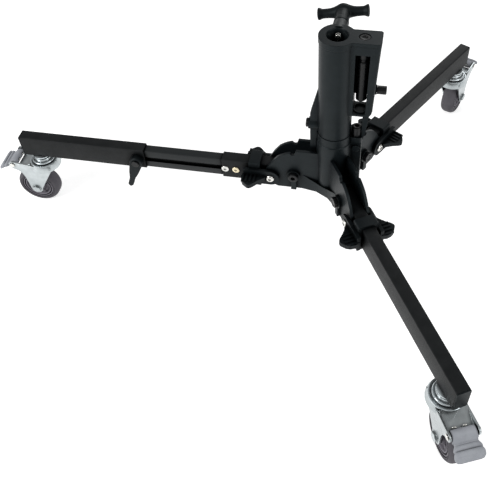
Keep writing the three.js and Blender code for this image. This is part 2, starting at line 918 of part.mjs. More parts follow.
function hingedTube(end) {
  const tube = rectangularTube(heelReach, end, tubeWidth, tubeHeight, tubeWall, tubeEdge);
  const pivotHole = alongY(rod(pivotShank + gap, -tubeWidth, tubeWidth), pivotReach, pivotRise);
  const slotHalf = lockPinRadius + gap;
  const slot = plateXZ(
    roundedBox(
      pinReach - lockTravel - slotHalf, pinReach + slotHalf, pinRise - slotHalf, pinRise + slotHalf,
      slotHalf - gap / 2,
    ),
    -tubeWidth,
    tubeWidth,
  );
  return cut(tube, heelCutter(), pivotHole, slot);
}

function stemHole(reach) {
  const low = casterTop - cutOver;
  return rod(stemRadius + gap, low, casterTop + tubeWall + cutOver).translate([reach - casterInset, 0, 0]);
}

function endPlug(reach) {
  const fit = (tubeWall + gap) * 2;
  const core = rectangularTube(
    reach - plugDepth, reach + gap * 2, tubeWidth - fit, tubeHeight - fit, 0, plugEdge,
  );
  const face = rectangularTube(reach + gap, reach + plugFlange, tubeWidth, tubeHeight, 0, tubeEdge);
  return join(core, face);
}

function pivotHardware(parent, key) {
  const seat = cheekOuter + pivotBossDepth + gap;
  const head = join(
    rod(pivotHead, seat, seat + pivotHeadDepth, smallSegments, gap * 2),
    rod(pivotShank, -seat - pivotNutDepth, seat + cutOver / 2),
  );
  const bolt = cut(head, hexagon(pivotSocket, seat + pivotHeadDepth - pivotSocketDepth, seat + tubeWidth));
  const nut = cut(
    hexagon(pivotNutRadius, -seat - pivotNutDepth, -seat),
    rod(pivotShank + gap, -tubeWidth * 2, -seat + cutOver),
  );
  addPiece(parent, `leg_${key}_pivot_bolt`, alongY(bolt, pivotReach, pivotRise), "darkSteel");
  addPiece(parent, `leg_${key}_pivot_nut`, alongY(nut, pivotReach, pivotRise), "darkSteel");
}

// A finger wing in plan, on the +Y side: an ear that sweeps out from the arm to a round tip.
function wingOutline() {
  const root = lockArmInner + gap;
  const shape = new THREE.Shape();
  shape.moveTo(wingRoot, root);
  shape.lineTo(wingRoot, wingRootSpan - gap);
  shape.quadraticCurveTo(
    (wingRoot + wingTipReach) / 2, (wingRootSpan + wingSpan) / 2 - wingTipRound / 2,
    wingTipReach - wingTipRound, wingSpan - wingTipRound / 2,
  );
  shape.quadraticCurveTo(
    wingTipReach, wingSpan + wingTipRound / 2, wingTipReach + wingTipRound, wingSpan - wingTipRound / 2,
  );
  shape.quadraticCurveTo(wingEnd, wingEndSpan + wingTipRound, wingEnd, wingEndSpan - wingTipRound);
  shape.lineTo(wingEnd - collarEdge, root);
  return shape;
}

function collarArm() {
  const half = lockArmHeight / 2;
  const shape = new THREE.Shape();
  shape.moveTo(wingEnd - collarEdge, legMid + half);
  shape.lineTo(lockScrewReach, legMid + half);
  shape.absarc(lockScrewReach, legMid, half, Math.PI / 2, Math.PI * 1.5, false);
  shape.lineTo(wingEnd - collarEdge, legMid - half);
  return shape;
}

// The arms' inner faces have draft: they open towards the hub, up to the pivot bosses' roots.
function armDraft() {
  const half = lockArmHeight / 2 + cutOver;
  const end = lockScrewReach - half;
  const shape = new THREE.Shape();
  shape.moveTo(lockArmDraftReach, lockArmInner);
  shape.lineTo(end, lockArmInner + lockArmDraft);
  shape.lineTo(end, lockArmInner - cutOver);
  shape.lineTo(lockArmDraftReach, lockArmInner - cutOver);
  return plateXY(shape, legMid - half, legMid + half);
}

// The lock collar: a sleeve round the leg, two arms beside the cheeks, and two ribbed wings.
function lockCollar() {
  const outerHalf = lockArmInner + gap;
  const low = legTop - tubeHeight - slideGap - collarWall;
  const high = legTop + slideGap + collarWall;
  const sleeveShape = roundedBox(-outerHalf, outerHalf, low, high, collarEdge);
  const sleeveGeometry = new THREE.ExtrudeGeometry(sleeveShape, {
    depth: collarLength,
    bevelEnabled: false,
    curveSegments: 3,
  });
  sleeveGeometry.rotateX(Math.PI / 2);
  sleeveGeometry.rotateZ(Math.PI / 2);
  sleeveGeometry.translate(collarStart, 0, 0);
  let body = solid(sleeveGeometry);
  const wingTop = legMid + wingThick / 2;
  for (const side of [-1, 1]) {
    const y0 = side > 0 ? lockArmInner : -lockArmOuter;
    body = body.add(plateXZ(collarArm(), y0, y0 + lockArmWall, curveSteps * 2));
    let wing = plateXY(wingOutline(), wingTop - wingThick, wingTop);
    const ribEnd = lockArmOuter + (wingSpan - lockArmOuter) * wingRibSpanShare;
    for (let i = 0; i < wingRibCount; i += 1) {
      const x = wingEnd - wingRibPitch * (i + 0.5);
      wing = wing.add(block(
        x - wingRib / 2, x + wingRib / 2, lockArmOuter - cutOver, ribEnd, wingTop - cutOver,
        wingTop + wingRibHeight,
      ));
    }
    body = body.add(side > 0 ? wing : wing.mirror([0, 1, 0]));
  }
  const legSpace = block(
    collarStart - cutOver,
    wingEnd + cutOver,
    -tubeHalf - slideGap,
    tubeHalf + slideGap,
    legTop - tubeHeight - slideGap,
    legTop + slideGap,
  );
  const pinHole = alongY(
    rod(lockPinRadius + gap, -lockArmOuter + cutOver, lockArmOuter - cutOver),
    pinReach,
    pinRise,
  );
  const screwHoles = alongY(
    rod(lockScrewShank + gap, -wingSpan, wingSpan), lockScrewReach, legMid,
  );
  const spotFaces = [-1, 1].map((side) => {
    const y0 = side > 0 ? lockArmOuter : -wingSpan;
    return alongY(
      rod(lockScrewHead + gap * 2, y0, y0 + wingSpan - lockArmOuter), lockScrewReach, legMid,
    );
  });
  const draft = armDraft();
  return cut(body, legSpace, pinHole, screwHoles, draft, draft.mirror([0, 1, 0]), ...spotFaces);
}

function lockParts(parent, key) {
  addPiece(parent, `leg_${key}_lock_collar`, lockCollar(), "blackCoat");
  const pinHalf = lockArmOuter - cutOver - gap;
  const pin = alongY(rod(lockPinRadius, -pinHalf, pinHalf), pinReach, pinRise);
  addPiece(parent, `leg_${key}_lock_pin`, pin, "zinc");
  const seat = lockArmOuter + gap;
  const head = join(
    rod(lockScrewHead, seat, seat + lockScrewHeadDepth, smallSegments, gap * 2),
    rod(lockScrewShank, lockArmInner + lockArmDraft / 2, seat + gap),
  );
  const screw = cut(head, hexagon(lockScrewSocket, seat + lockScrewHeadDepth / 2, seat + wingSpan));
  const left = alongY(screw, lockScrewReach, legMid);
  addPiece(parent, `leg_${key}_lock_screw_left`, left, "zinc");
  addPiece(parent, `leg_${key}_lock_screw_right`, left.mirror([0, 1, 0]), "zinc");
}

function fixedLeg(parent, key) {
  const tube = cut(hingedTube(legReach), stemHole(legReach));
  addPiece(parent, `leg_${key}_tube`, tube, "legCoat");
  addPiece(parent, `leg_${key}_end_plug`, endPlug(legReach), "blackPlastic");
  pivotHardware(parent, key);
  lockParts(parent, key);
}

// Where the two screws hold the rail in the short sleeve, from the sleeve's open end.
function sleeveScrewPlaces() {
  return [sleeveReach - sleeveScrewInset, sleeveReach - sleeveScrewInset - sleeveScrewPitch];
}

function railBody() {
  const fit = (tubeWall + slideGap) * 2;
  const rail = rectangularTube(railStart, railEnd, tubeWidth - fit, tubeHeight - fit, 0, tubeEdge);
  const half = grooveHeight / 2;
  const side = tubeHalf - tubeWall - slideGap;
  const grooves = [-1, 1].map((sign) => {
    const y0 = sign > 0 ? side - grooveDepth : -side - cutOver;
    const y1 = sign > 0 ? side + cutOver : -side + grooveDepth;
    return block(railStart - cutOver, railEnd + cutOver, y0, y1, legMid - half, legMid + half);
  });
  const holes = sleeveScrewPlaces().map((x) => alongY(
    rod(sleeveScrewShank + gap, 0, tubeWidth), x, legMid,
  ));
  return cut(rail, ...grooves, ...holes);
}

function sleeveScrew(x) {
  const seat = tubeHalf + gap;
  const head = join(
    rod(sleeveScrewHead, seat, seat + sleeveScrewDepth, smallSegments, gap),
    rod(sleeveScrewShank, gap, seat + gap, tinySegments),
  );
  return alongY(head, x, legMid);
}

// The clamp lever: a round boss on the tube's near side and a tapering arm that hangs down.
function clampLever() {
  const reach = outerStart + clampInset;
  const y0 = tubeHalf + slideGap;
  const boss = alongY(
    rod(clampBossRadius, y0, y0 + clampBossDepth, roundSegments / 2, cornerBreak), reach, legMid,
  );
  const root = clampRootWidth / 2;
  const tip = clampTipWidth / 2;
  const shape = new THREE.Shape();
  shape.moveTo(-root, 0);
  shape.lineTo(root, 0);
  shape.quadraticCurveTo(root, -clampArm / 2 + root, tip, -clampArm + root * 2);
  shape.lineTo(tip, -clampArm + tip);
  shape.quadraticCurveTo(0, -clampArm - tip, -tip, -clampArm + tip);
  shape.lineTo(-tip, -clampArm + root * 2);
  shape.quadraticCurveTo(-root, -clampArm / 2 + root, -root, 0);
  const arm = plateXZ(shape, y0, y0 + clampWall)
    .rotate([0, -clampLean, 0])
    .translate([reach, 0, legMid]);
  const bore = alongY(rod(clampBolt + gap, 0, tubeWidth * 2), reach, legMid);
  return cut(join(boss, arm), bore);
}

function clampBoltBody() {
  const reach = outerStart + clampInset;
  const seat = tubeHalf + slideGap + clampBossDepth + gap;
  const inner = tubeHalf - tubeWall - slideGap - grooveDepth + gap;
  const bolt = join(
    rod(clampBoltHead, seat, seat + clampBoltHeadDepth, smallSegments, gap * 2),
    rod(clampBolt, inner + clampShoeDepth / 2, seat + gap),
  );
  const half = clampShoeLength / 2;
  const shoeHalf = grooveHeight / 2 - gap;
  const shoe = block(
    reach - half, reach + half, inner, inner + clampShoeDepth, legMid - shoeHalf, legMid + shoeHalf,
  );
  return alongY(bolt, reach, legMid).add(shoe);
}

function levellingLeg(parent, key) {
  const holes = sleeveScrewPlaces().map((x) => alongY(
    rod(sleeveScrewShank + gap, 0, tubeWidth), x, legMid,
  ));
  addPiece(parent, `leg_${key}_sleeve`, cut(hingedTube(sleeveReach), ...holes), "legCoat");
  addPiece(parent, `leg_${key}_rail`, railBody(), "railCoat");
  const [outerPlace, innerPlace] = sleeveScrewPlaces();
  addPiece(parent, `leg_${key}_rail_screw_outer`, sleeveScrew(outerPlace), "zinc");
  addPiece(parent, `leg_${key}_rail_screw_inner`, sleeveScrew(innerPlace), "brassTint");
  const clampHole = alongY(
    rod(clampBolt + gap, 0, tubeWidth), outerStart + clampInset, legMid,
  );
  const outer = cut(
    rectangularTube(outerStart, levelReach, tubeWidth, tubeHeight, tubeWall, tubeEdge),
    stemHole(levelReach),
    clampHole,
  );
  addPiece(parent, `leg_${key}_outer_tube`, outer, "legCoat");
  addPiece(parent, `leg_${key}_end_plug`, endPlug(levelReach), "blackPlastic");
  addPiece(parent, `leg_${key}_clamp_lever`, clampLever(), "blackPlastic");
  addPiece(parent, `leg_${key}_clamp_bolt`, clampBoltBody(), "darkSteel");
  pivotHardware(parent, key);
  lockParts(parent, key);
}

// Casters: made about the swivel axis at x = y = 0, with the wheel trailing along +X.

const raceBottom = casterTop - gap - raceDepth;
const crownTop = raceBottom - gap;
const crownBottom = crownTop - crownSkirt;
const forkInner = hubWidth / 2 + forkGap;
const forkOuter = forkInner + forkWall;

function topRace() {
  const nutBase = casterTop + tubeWall + gap;
  return turned([
    [0, raceBottom],
    [raceRadius - raceLip, raceBottom],
    [raceRadius, raceBottom + raceLip / 2],
    [raceRadius, raceBottom + raceLip],
    [raceTopRadius, raceBottom + raceLip * 2],
    [raceTopRadius, casterTop - gap],
    [stemRadius, casterTop - gap],
    [stemRadius, nutBase],
    [stemNutRadius, nutBase],
    [stemNutRadius, nutBase + stemNutDepth],
    [0, nutBase + stemNutDepth],
  ], smallSegments * 2);
}

// One tapering side plate of the fork, with the arm that carries the pedal pin.
function forkPlate() {
  const eyeLeft = trail - forkEyeRadius;
  const armLow = pedalPinRise - pedalEar * 2;
  const shape = new THREE.Shape();
  shape.moveTo(-crownRadius * forkRootShare, crownTop - crownDepth * 2);
  shape.lineTo(-crownRadius * forkRootShare, crownBottom);
  shape.quadraticCurveTo(-crownRadius * forkWaistShare, crownBottom - crownRadius / 2, eyeLeft, wheelRise);
  shape.absarc(trail, wheelRise, forkEyeRadius, Math.PI, Math.PI * 2, false);
  shape.lineTo(trail + forkEyeRadius, wheelRise + forkEyeRadius);
  shape.quadraticCurveTo(
    trail + forkEyeRadius, armLow - pedalEar, pedalPinReach - pedalEar, armLow,
  );
  shape.quadraticCurveTo(
    pedalPinReach + pedalEar, armLow + pedalEar / 2, pedalPinReach + pedalEar, pedalPinRise,
  );
  shape.absarc(pedalPinReach, pedalPinRise, pedalEar, 0, Math.PI / 2, false);
  shape.lineTo(crownRadius * forkRootShare, crownTop - crownDepth);
  return shape;
}

// The pressed steel fork: a crown cup with a skirt, a sloped beak and two side plates that
// lean outwards from the axle to the crown.
function forkBody() {
  const crown = turned([
    [0, crownTop - crownDepth],
    [crownDomeRadius - crownSkirtWall, crownTop - crownDepth],
    [crownRadius - crownSkirtWall, crownBottom + crownSkirtWall],
    [crownRadius - crownSkirtWall, crownBottom],
    [crownRadius, crownBottom],
    [crownRadius, crownBottom + crownSkirtWall],
    [crownDomeRadius, crownTop],
    [0, crownTop],
  ], smallSegments * 2);
  const leanPerRise = forkLean / (pedalPinRise - wheelRise);
  const plates = [-1, 1].map((side) => {
    const y0 = side > 0 ? forkInner : -forkOuter;
    return plateXZ(forkPlate(), y0, y0 + forkWall).warp((vertex) => {
      vertex[1] += side * leanPerRise * Math.max(vertex[2] - wheelRise, 0);
    });
  });
  const wide = forkInner + forkLean + forkWall / 3;
  const beak = plateXZ(outline([
    [crownDomeRadius - crownSkirtWall, crownTop - crownDepth],
    [crownBeak, crownTop - crownDepth - crownBeakDrop],
    [crownBeak + headBevel, crownTop - crownBeakDrop],
    [crownDomeRadius - crownSkirtWall, crownTop],
  ]), -wide, wide);
  const reach = forkOuter * 2;
  const holes = [
    alongY(rod(axleRadius + gap, -reach, reach), trail, wheelRise),
    alongY(rod(pedalPinRadius + pedalBore, -reach, reach), pedalPinReach, pedalPinRise),
  ];
  return cut(join(crown, beak, ...plates), ...holes);
}

function tyreBody() {
  const half = wheelWidth / 2;
  const inner = coreRadius + gap;
  return alongY(turned([
    [inner, -half],
    [wheelRadius - treadRound, -half],
    [wheelRadius - treadRound / 4, -half + treadRound / 2],
    [wheelRadius, -half + treadRound * 1.5],
    [wheelRadius, half - treadRound * 1.5],
    [wheelRadius - treadRound / 4, half - treadRound / 2],
    [wheelRadius - treadRound, half],
    [inner, half],
    [inner, -half],
  ], wheelSegments), trail, wheelRise);
}

function coreBody() {
  const half = wheelWidth / 2 - treadRound / 2;
  const web = coreWeb / 2;
  const bore = axleRadius + gap;
  const rim = coreRadius - coreGroove * 2;
  return alongY(turned([
    [bore, -hubWidth / 2],
    [hubRadius, -hubWidth / 2],
    [hubRadius + coreGroove, -web],
    [rim, -web],
    [rim + coreGroove, -half],
    [coreRadius, -half],
    [coreRadius, half],
    [rim + coreGroove, half],
    [rim, web],
    [hubRadius + coreGroove, web],
    [hubRadius, hubWidth / 2],
    [bore, hubWidth / 2],
    [bore, -hubWidth / 2],
  ], wheelSegments), trail, wheelRise);
}

function axleBody() {
  const lean = forkLean * axleHead / (pedalPinRise - wheelRise);
  const seat = forkOuter + lean + gap;
  return alongY(join(
    rod(axleRadius, -seat - axleHeadDepth, seat + cutOver / 2, tinySegments),
    hexagon(axleHead, -seat - axleHeadDepth, -seat),
    rod(axleHead, seat, seat + axleHeadDepth, smallSegments, headBevel),
  ), trail, wheelRise);
}

// The side view of the brake pedal: a hinge barrel, a step and a tread that falls to its tip.
function pedalSide() {
  const shape = new THREE.Shape();
  const neckRise = pedalTreadRise - pedalTaper / 2;
  const fromAngle = THREE.MathUtils.degToRad(pedalBarrelAngles.from);
  const toAngle = THREE.MathUtils.degToRad(pedalBarrelAngles.to);
  shape.absarc(pedalPinReach, pedalPinRise, pedalBarrel, fromAngle, toAngle, true);
  shape.quadraticCurveTo(
    pedalNeckReach - pedalTaper, neckRise - pedalTaper / 2, pedalNeckReach, neckRise,
  );
  shape.lineTo(pedalTreadReach, pedalTreadRise);
  shape.quadraticCurveTo(pedalDipReach, pedalTreadRise, pedalDipReach, pedalTreadRise - pedalTaper);
  shape.quadraticCurveTo(
    pedalTip - pedalTaper, pedalTreadRise - pedalTaper, pedalTip, pedalTipRise + pedalTaper,
  );
  shape.quadraticCurveTo(pedalTip, pedalTipRise - pedalTaper, pedalTip - pedalThick, pedalTipRise);
  shape.quadraticCurveTo(
    pedalTreadReach, pedalTreadRise - pedalThick, pedalNeckReach, pedalTreadRise - pedalThick,
  );
  return shape;
}

// The plan view of the pedal, which bounds its barrel, neck and two ears on each side.
function pedalPlan() {
  const barrelHalf = forkInner + forkLean - pedalSideGap;
  const barrelEnd = pedalPinReach + pedalBarrel + pedalSideGap;
  const edge = [
    [pedalPinReach - pedalBarrel - cutOver, barrelHalf],
    [barrelEnd, barrelHalf],
    [pedalNeckReach, pedalNeckHalf],
    [pedalTreadReach, pedalHalf - pedalTaper / 4],
    [pedalDipReach, pedalDipHalf],
    [pedalDipReach + pedalTaper, pedalHalf],
    [pedalTip - pedalTaper * 1.5, pedalHalf],
    [pedalTip - pedalTaper / 2, pedalHalf - pedalTaper],
    [pedalTip + gap, pedalDipHalf - pedalTaper * 2],
  ];
  return outline([...edge, ...edge.map(([x, y]) => [x, -y]).reverse()]);
}

function pedalBody() {
  const side = plateXZ(pedalSide(), -pedalHalf - cutOver, pedalHalf + cutOver);
  const plan = plateXY(pedalPlan(), pedalTipRise - pedalThick, pedalPinRise + pedalBarrel * 2);
  const bore = alongY(
    rod(pedalPinRadius + pedalBore, -pedalHalf * 2, pedalHalf * 2), pedalPinReach, pedalPinRise,
  );
  return cut(side.intersect(plan), bore);
}

function pedalPin() {
  const half = forkOuter + forkLean + gap * 2;
  const end = half + pedalPinHeadDepth;
  return alongY(join(
    rod(pedalPinRadius, -end, end, tinySegments),
    rod(pedalPinHead, half, end, tinySegments),
    rod(pedalPinHead, -end, -half, tinySegments),
  ), pedalPinReach, pedalPinRise);
}

function casterParts(parent, key) {
  addPiece(parent, `caster_${key}_top_race`, topRace(), "zinc");
  const swivel = turnedGroup(parent, headings[key] - legAzimuths[key]);
  addPiece(swivel, `caster_${key}_fork`, forkBody(), "zinc");
  addPiece(swivel, `caster_${key}_axle`, axleBody(), "zinc");
  addPiece(swivel, `caster_${key}_tyre`, tyreBody(), "tyreGrey");
  addPiece(swivel, `caster_${key}_wheel_core`, coreBody(), "coreGrey");
  addPiece(swivel, `caster_${key}_pedal`, pedalBody(), "pedalGrey");
  addPiece(swivel, `caster_${key}_pedal_pin`, pedalPin(), "zinc");
}

// Assembly

columnParts(object);
addPiece(object, "stowed_spigot", spigotBody(), "darkSteel");
addPiece(object, "spigot_set_screw", setScrewBody(), "darkSteel");
clampScrewParts(object);

for (const [key, degrees] of Object.entries(legAzimuths)) {
  const leg = turnedGroup(object, degrees);
  const reach = key === "a" ? levelReach : legReach;
  if (key === "a") {
    levellingLeg(leg, key);
  } else {
    fixedLeg(leg, key);
  }
  const caster = turnedGroup(leg, 0, reach - casterInset);
  casterParts(caster, key);
}

// The origin is on the floor below the middle of the object's box.
object.updateMatrixWorld(true);
const extent = new THREE.Box3().setFromObject(object, true);
const middle = extent.getCenter(new THREE.Vector3());
object.position.set(-middle.x, -middle.y, -extent.min.z);
object.updateMatrixWorld(true);

export default object;
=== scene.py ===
import json
import bmesh
import bpy
import numpy as np
from mathutils import Matrix


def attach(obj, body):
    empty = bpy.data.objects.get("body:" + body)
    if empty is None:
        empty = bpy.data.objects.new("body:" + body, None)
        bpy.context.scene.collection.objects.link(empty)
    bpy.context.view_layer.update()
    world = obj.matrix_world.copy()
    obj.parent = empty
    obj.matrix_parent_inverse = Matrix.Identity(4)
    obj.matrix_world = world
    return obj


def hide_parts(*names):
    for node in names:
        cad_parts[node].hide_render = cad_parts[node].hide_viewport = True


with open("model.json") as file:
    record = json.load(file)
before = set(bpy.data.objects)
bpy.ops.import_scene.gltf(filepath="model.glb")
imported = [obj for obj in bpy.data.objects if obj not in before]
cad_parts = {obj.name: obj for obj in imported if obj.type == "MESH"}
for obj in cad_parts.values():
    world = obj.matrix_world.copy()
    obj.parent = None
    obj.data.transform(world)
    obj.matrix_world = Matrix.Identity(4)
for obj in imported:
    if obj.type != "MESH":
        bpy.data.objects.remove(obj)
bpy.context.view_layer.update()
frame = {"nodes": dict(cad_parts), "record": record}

# Real places and sizes in millimetres. Heights are above the floor, and the column stands at
# X = Y = 0 until SHIFT puts a finished mesh in the frame.
METRE = 1000.0
SHIFT = np.array([177.148, -0.278, 0.0])

# Legs. Leg a slides in and out, legs b and c don't.
LEG_AZIMUTH = {"a": 180.0, "b": -60.0, "c": 60.0}
LEG_MID = 135.0
PIVOT_REACH = 61.0
PIVOT_HEIGHT = 144.0
LOCK_SCREW_REACH = 99.0
RAIL_SCREW_REACH = {"outer": 176.0, "inner": 158.0}

# Casters. Reaches are from the swivel axis.
CARRIER = {"a": "leg_a_outer", "b": "leg_b", "c": "leg_c"}
CASTER_REACH = {"a": 511.2, "b": 379.2, "c": 379.2}
CASTER_HEADING = {"a": 181.4, "b": -66.0, "c": 68.0}
AXLE_REACH = 25.9
AXLE_HEIGHT = 37.5
WHEEL_RADIUS = 37.5
HINGE_REACH = 52.5
HINGE_HEIGHT = 97.5

# The clamp screw's axis leaves the column's axis at this height and runs outwards and down.
CLAMP_HEIGHT = 396.2
CLAMP_AZIMUTH = 91.0
CLAMP_DIVE = 9.4

# The stowed spigot and the screws beside the column
SPIGOT_REACH = 36.6
SET_SCREW_HEIGHT = 318.4
FOOT_SCREW_REACH = 33.4
LUG_SCREW_HEIGHT = 245.0


# Places on the object

def turned(points, degrees):
    """Turns points about Z: x' = x cos a - y sin a, y' = x sin a + y cos a."""
    a = np.radians(degrees)
    x, y, z = np.moveaxis(np.asarray(points, float), -1, 0)
    return np.stack([x * np.cos(a) - y * np.sin(a), x * np.sin(a) + y * np.cos(a), z], -1)


def on_leg(key):
    """A place on a leg: +X out along it, +Y to its left, turned to the leg's azimuth."""
    return lambda points: turned(points, LEG_AZIMUTH[key])


def on_caster(key):
    """A place on a swivelled caster: turned to its heading, then moved out to the leg's end."""
    a = np.radians(LEG_AZIMUTH[key])
    centre = CASTER_REACH[key] * np.array([np.cos(a), np.sin(a), 0.0])
    return lambda points: turned(points, CASTER_HEADING[key]) + centre


def under_leg(key):
    """A place under a leg's end, turned with the leg."""
    return lambda points: turned(np.asarray(points, float) + [CASTER_REACH[key], 0, 0], LEG_AZIMUTH[key])


def on_clamp(points):
    """A place on the clamp screw: local +Z runs out along the screw, local -X is up. The tilt
    turns about Y: x' = x cos a + z sin a, z' = z cos a - x sin a."""
    a = np.radians(90.0 + CLAMP_DIVE)
    x, y, z = np.moveaxis(np.asarray(points, float), -1, 0)
    tipped = np.stack([x * np.cos(a) + z * np.sin(a), y, z * np.cos(a) - x * np.sin(a)], -1)
    return turned(tipped + [0, 0, CLAMP_HEIGHT], CLAMP_AZIMUTH)


def along_y(points, x, z, side=1):
    """Lays an upright shape along Y, with its top at +Y for side 1 and at -Y for side -1."""
    px, py, pz = np.moveaxis(np.asarray(points, float), -1, 0)
    return np.stack([x + px, side * pz, z + py], -1)


def along_x(points, y, z, side=1):
    """Lays an upright shape along X, with its top at +X for side 1 and at -X for side -1."""
    px, py, pz = np.moveaxis(np.asarray(points, float), -1, 0)
    return np.stack([side * pz, y + py, z + px], -1)


# Surfaces. A grid has rows and columns of points, and its columns close round.

def rounded(profile, radius, steps=3):
    """Rounds a polyline's inner corners: each corner c between a and b becomes the curve
    (1-t)^2 p + 2t(1-t) c + t^2 q, with p and q up to radius from c on its two sides."""
    points = np.asarray(profile, float)
    out = [points[0]]
    t = np.linspace(0, 1, steps + 1)[:, None]
    for before, corner, after in zip(points, points[1:], points[2:]):
        back, ahead = before - corner, after - corner
        p = corner + back * min(radius / np.linalg.norm(back), 0.5)
        q = corner + ahead * min(radius / np.linalg.norm(ahead), 0.5)
        out.extend((1 - t) ** 2 * p + 2 * t * (1 - t) * corner + t ** 2 * q)
    out.append(points[-1])
    return np.array(out)


def lathe(profile, columns=64):
    """Turns (radius, height) pairs about Z: x = r cos t, y = r sin t, z = h."""
    r, h = np.asarray(profile, float).T
    t = np.linspace(0, 2 * np.pi, columns, endpoint=False)
    return np.stack([r[:, None] * np.cos(t), r[:, None] * np.sin(t), h[:, None] + 0 * t], -1)


def hex_ring(flat, height, columns):
    """A six-sided ring: r = flat / cos(u), where u is the angle from the nearest flat's middle."""
    t = np.linspace(0, 2 * np.pi, columns, endpoint=False)
    u = np.mod(t + np.pi / 6, np.pi / 3) - np.pi / 6
    r = flat / np.cos(u)
    return np.stack([r * np.cos(t), r * np.sin(t), height + 0 * t], -1)[None]


def socket_head(radius, depth, socket, sink, shank, length, dome=0.0, columns=48, seat=0.0):
    """A round screw head with a six-sided socket: rings climb the shank, go out under the head,
    up its side, in over its domed edge, then down the socket's hexagon. seat lifts it all."""
    edge = min(depth * 0.3, 1.0)
    outer = [(shank, -length), (shank, 0), (radius, 0), (radius, depth - edge - dome)]
    crown = [(radius - edge * 0.35, depth - edge * 0.35 - dome),
             (radius - edge * 1.1, depth - dome * 0.8),
             (radius * 0.7, depth - dome * 0.2), (socket * 1.22, depth)]
    wall = [hex_ring(socket, depth - 0.15, columns), hex_ring(socket * 0.97, depth - 0.5, columns),
            hex_ring(socket * 0.95, depth - sink, columns)]
    floor = lathe([(socket * 0.3, depth - sink - 0.5)], columns)
    return np.concatenate([lathe(outer + crown, columns), *wall, floor]) + [0, 0, seat]


def hex_nut(flat, low, high, columns=48):
    """A nut with its corners turned off: a hexagon between two smaller round faces."""
    trim = (high - low) * 0.16
    return np.concatenate([lathe([(flat * 0.97, low)], columns), hex_ring(flat, low + trim, columns),
                           hex_ring(flat, high - trim, columns), lathe([(flat * 0.97, high)], columns)])


def threaded(radius, low, high, pitch, depth, columns=40, rows_per_turn=8):
    """A screw thread: r = radius - depth |2 frac(z / pitch - t / 2 pi) - 1|, whose crests sink to
    the root over the last turn at each end."""
    count = int((high - low) / pitch * rows_per_turn)
    z = np.linspace(low, high, count)[:, None]
    t = np.linspace(0, 2 * np.pi, columns, endpoint=False)
    phase = np.mod(z / pitch - t / (2 * np.pi), 1.0)
    fade = np.clip(np.minimum(z - low, high - z) / pitch, 0, 1)
    r = radius - depth * (1 - fade * (1 - np.abs(2 * phase - 1)))
    return np.stack([r * np.cos(t), r * np.sin(t), z + 0 * t], -1)


def superellipse(width, height, power, columns):
    """(cos, sin) raised to 2/power keeps its sign: a circle for 2, nearly a box for 6."""
    t = np.linspace(0, 2 * np.pi, columns, endpoint=False)
    c, s = np.cos(t), np.sin(t)
    return (width * np.sign(c) * np.abs(c) ** (2 / power),
            height * np.sign(s) * np.abs(s) ** (2 / power))


def mesh_of(name, shells):
    """One mesh from (grid, looped) shells: each grid cell is a quad between two rows and two
    columns, the columns close round, looped rows close too, and open ends get one lid each."""
    points, faces, start = [], [], 0
    for grid, looped in shells:
        rows, columns = grid.shape[:2]
        index = start + np.arange(rows * columns).reshape(rows, columns)
        beside = np.roll(index, -1, 1)
        last = rows if looped else rows - 1
        above, above_beside = np.roll(index, -1, 0), np.roll(beside, -1, 0)
        quads = np.stack([index, beside, above_beside, above], -1)[:last].reshape(-1, 4)
        faces.extend(quads.tolist())
        if not looped:
            faces.extend([index[0][::-1].tolist(), index[-1].tolist()])
        points.append(grid.reshape(-1, 3))
        start += rows * columns
    mesh = bpy.data.meshes.new(name)
    mesh.from_pydata((np.concatenate(points) + SHIFT) / METRE, [], faces)
    body = bmesh.new()
    body.from_mesh(mesh)
    bmesh.ops.recalc_face_normals(body, faces=body.faces)
    body.to_mesh(mesh)
    body.free()
    return mesh


def link(name, data):
    """Puts an object of this mesh, lamp or camera in the scene."""
    obj = bpy.data.objects.new(name, data)
    bpy.context.scene.collection.objects.link(obj)
    return obj


def piece(name, shells, body, slot, material, *nodes, crease=34.0):
    """Links a finished surface, smooth but for edges sharper than crease, on its body."""
    mesh = mesh_of(name, shells)
    mesh.shade_smooth()
    mesh.set_sharp_from_angle(angle=np.radians(crease))
    obj = link(name, mesh)
    mesh.materials.append(material)
    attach(obj, body)
    if nodes:
        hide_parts(*nodes)
    return obj


# Finishes

MOTTLE_SPAN = (0.35, 0.68)
GRAIN_SPAN = (0.3, 0.7)
SMOOTH_RELIEF = 0.00001
NEARBY_SAMPLES = 8


def node_of(tree, kind, **values):
    """Adds a shader node and sets its inputs by name."""
    node = tree.nodes.new(kind)
    for key, value in values.items():
        node.inputs[key.replace("_", " ")].default_value = value
    return node


def maths(tree, operation, value, amount):
    """Adds a maths node that applies the operation to value and amount, and gives its output."""
    node = tree.nodes.new("ShaderNodeMath")
    node.operation = operation
    node.inputs[1].default_value = amount
    tree.links.new(value, node.inputs[0])
    return node.outputs["Value"]


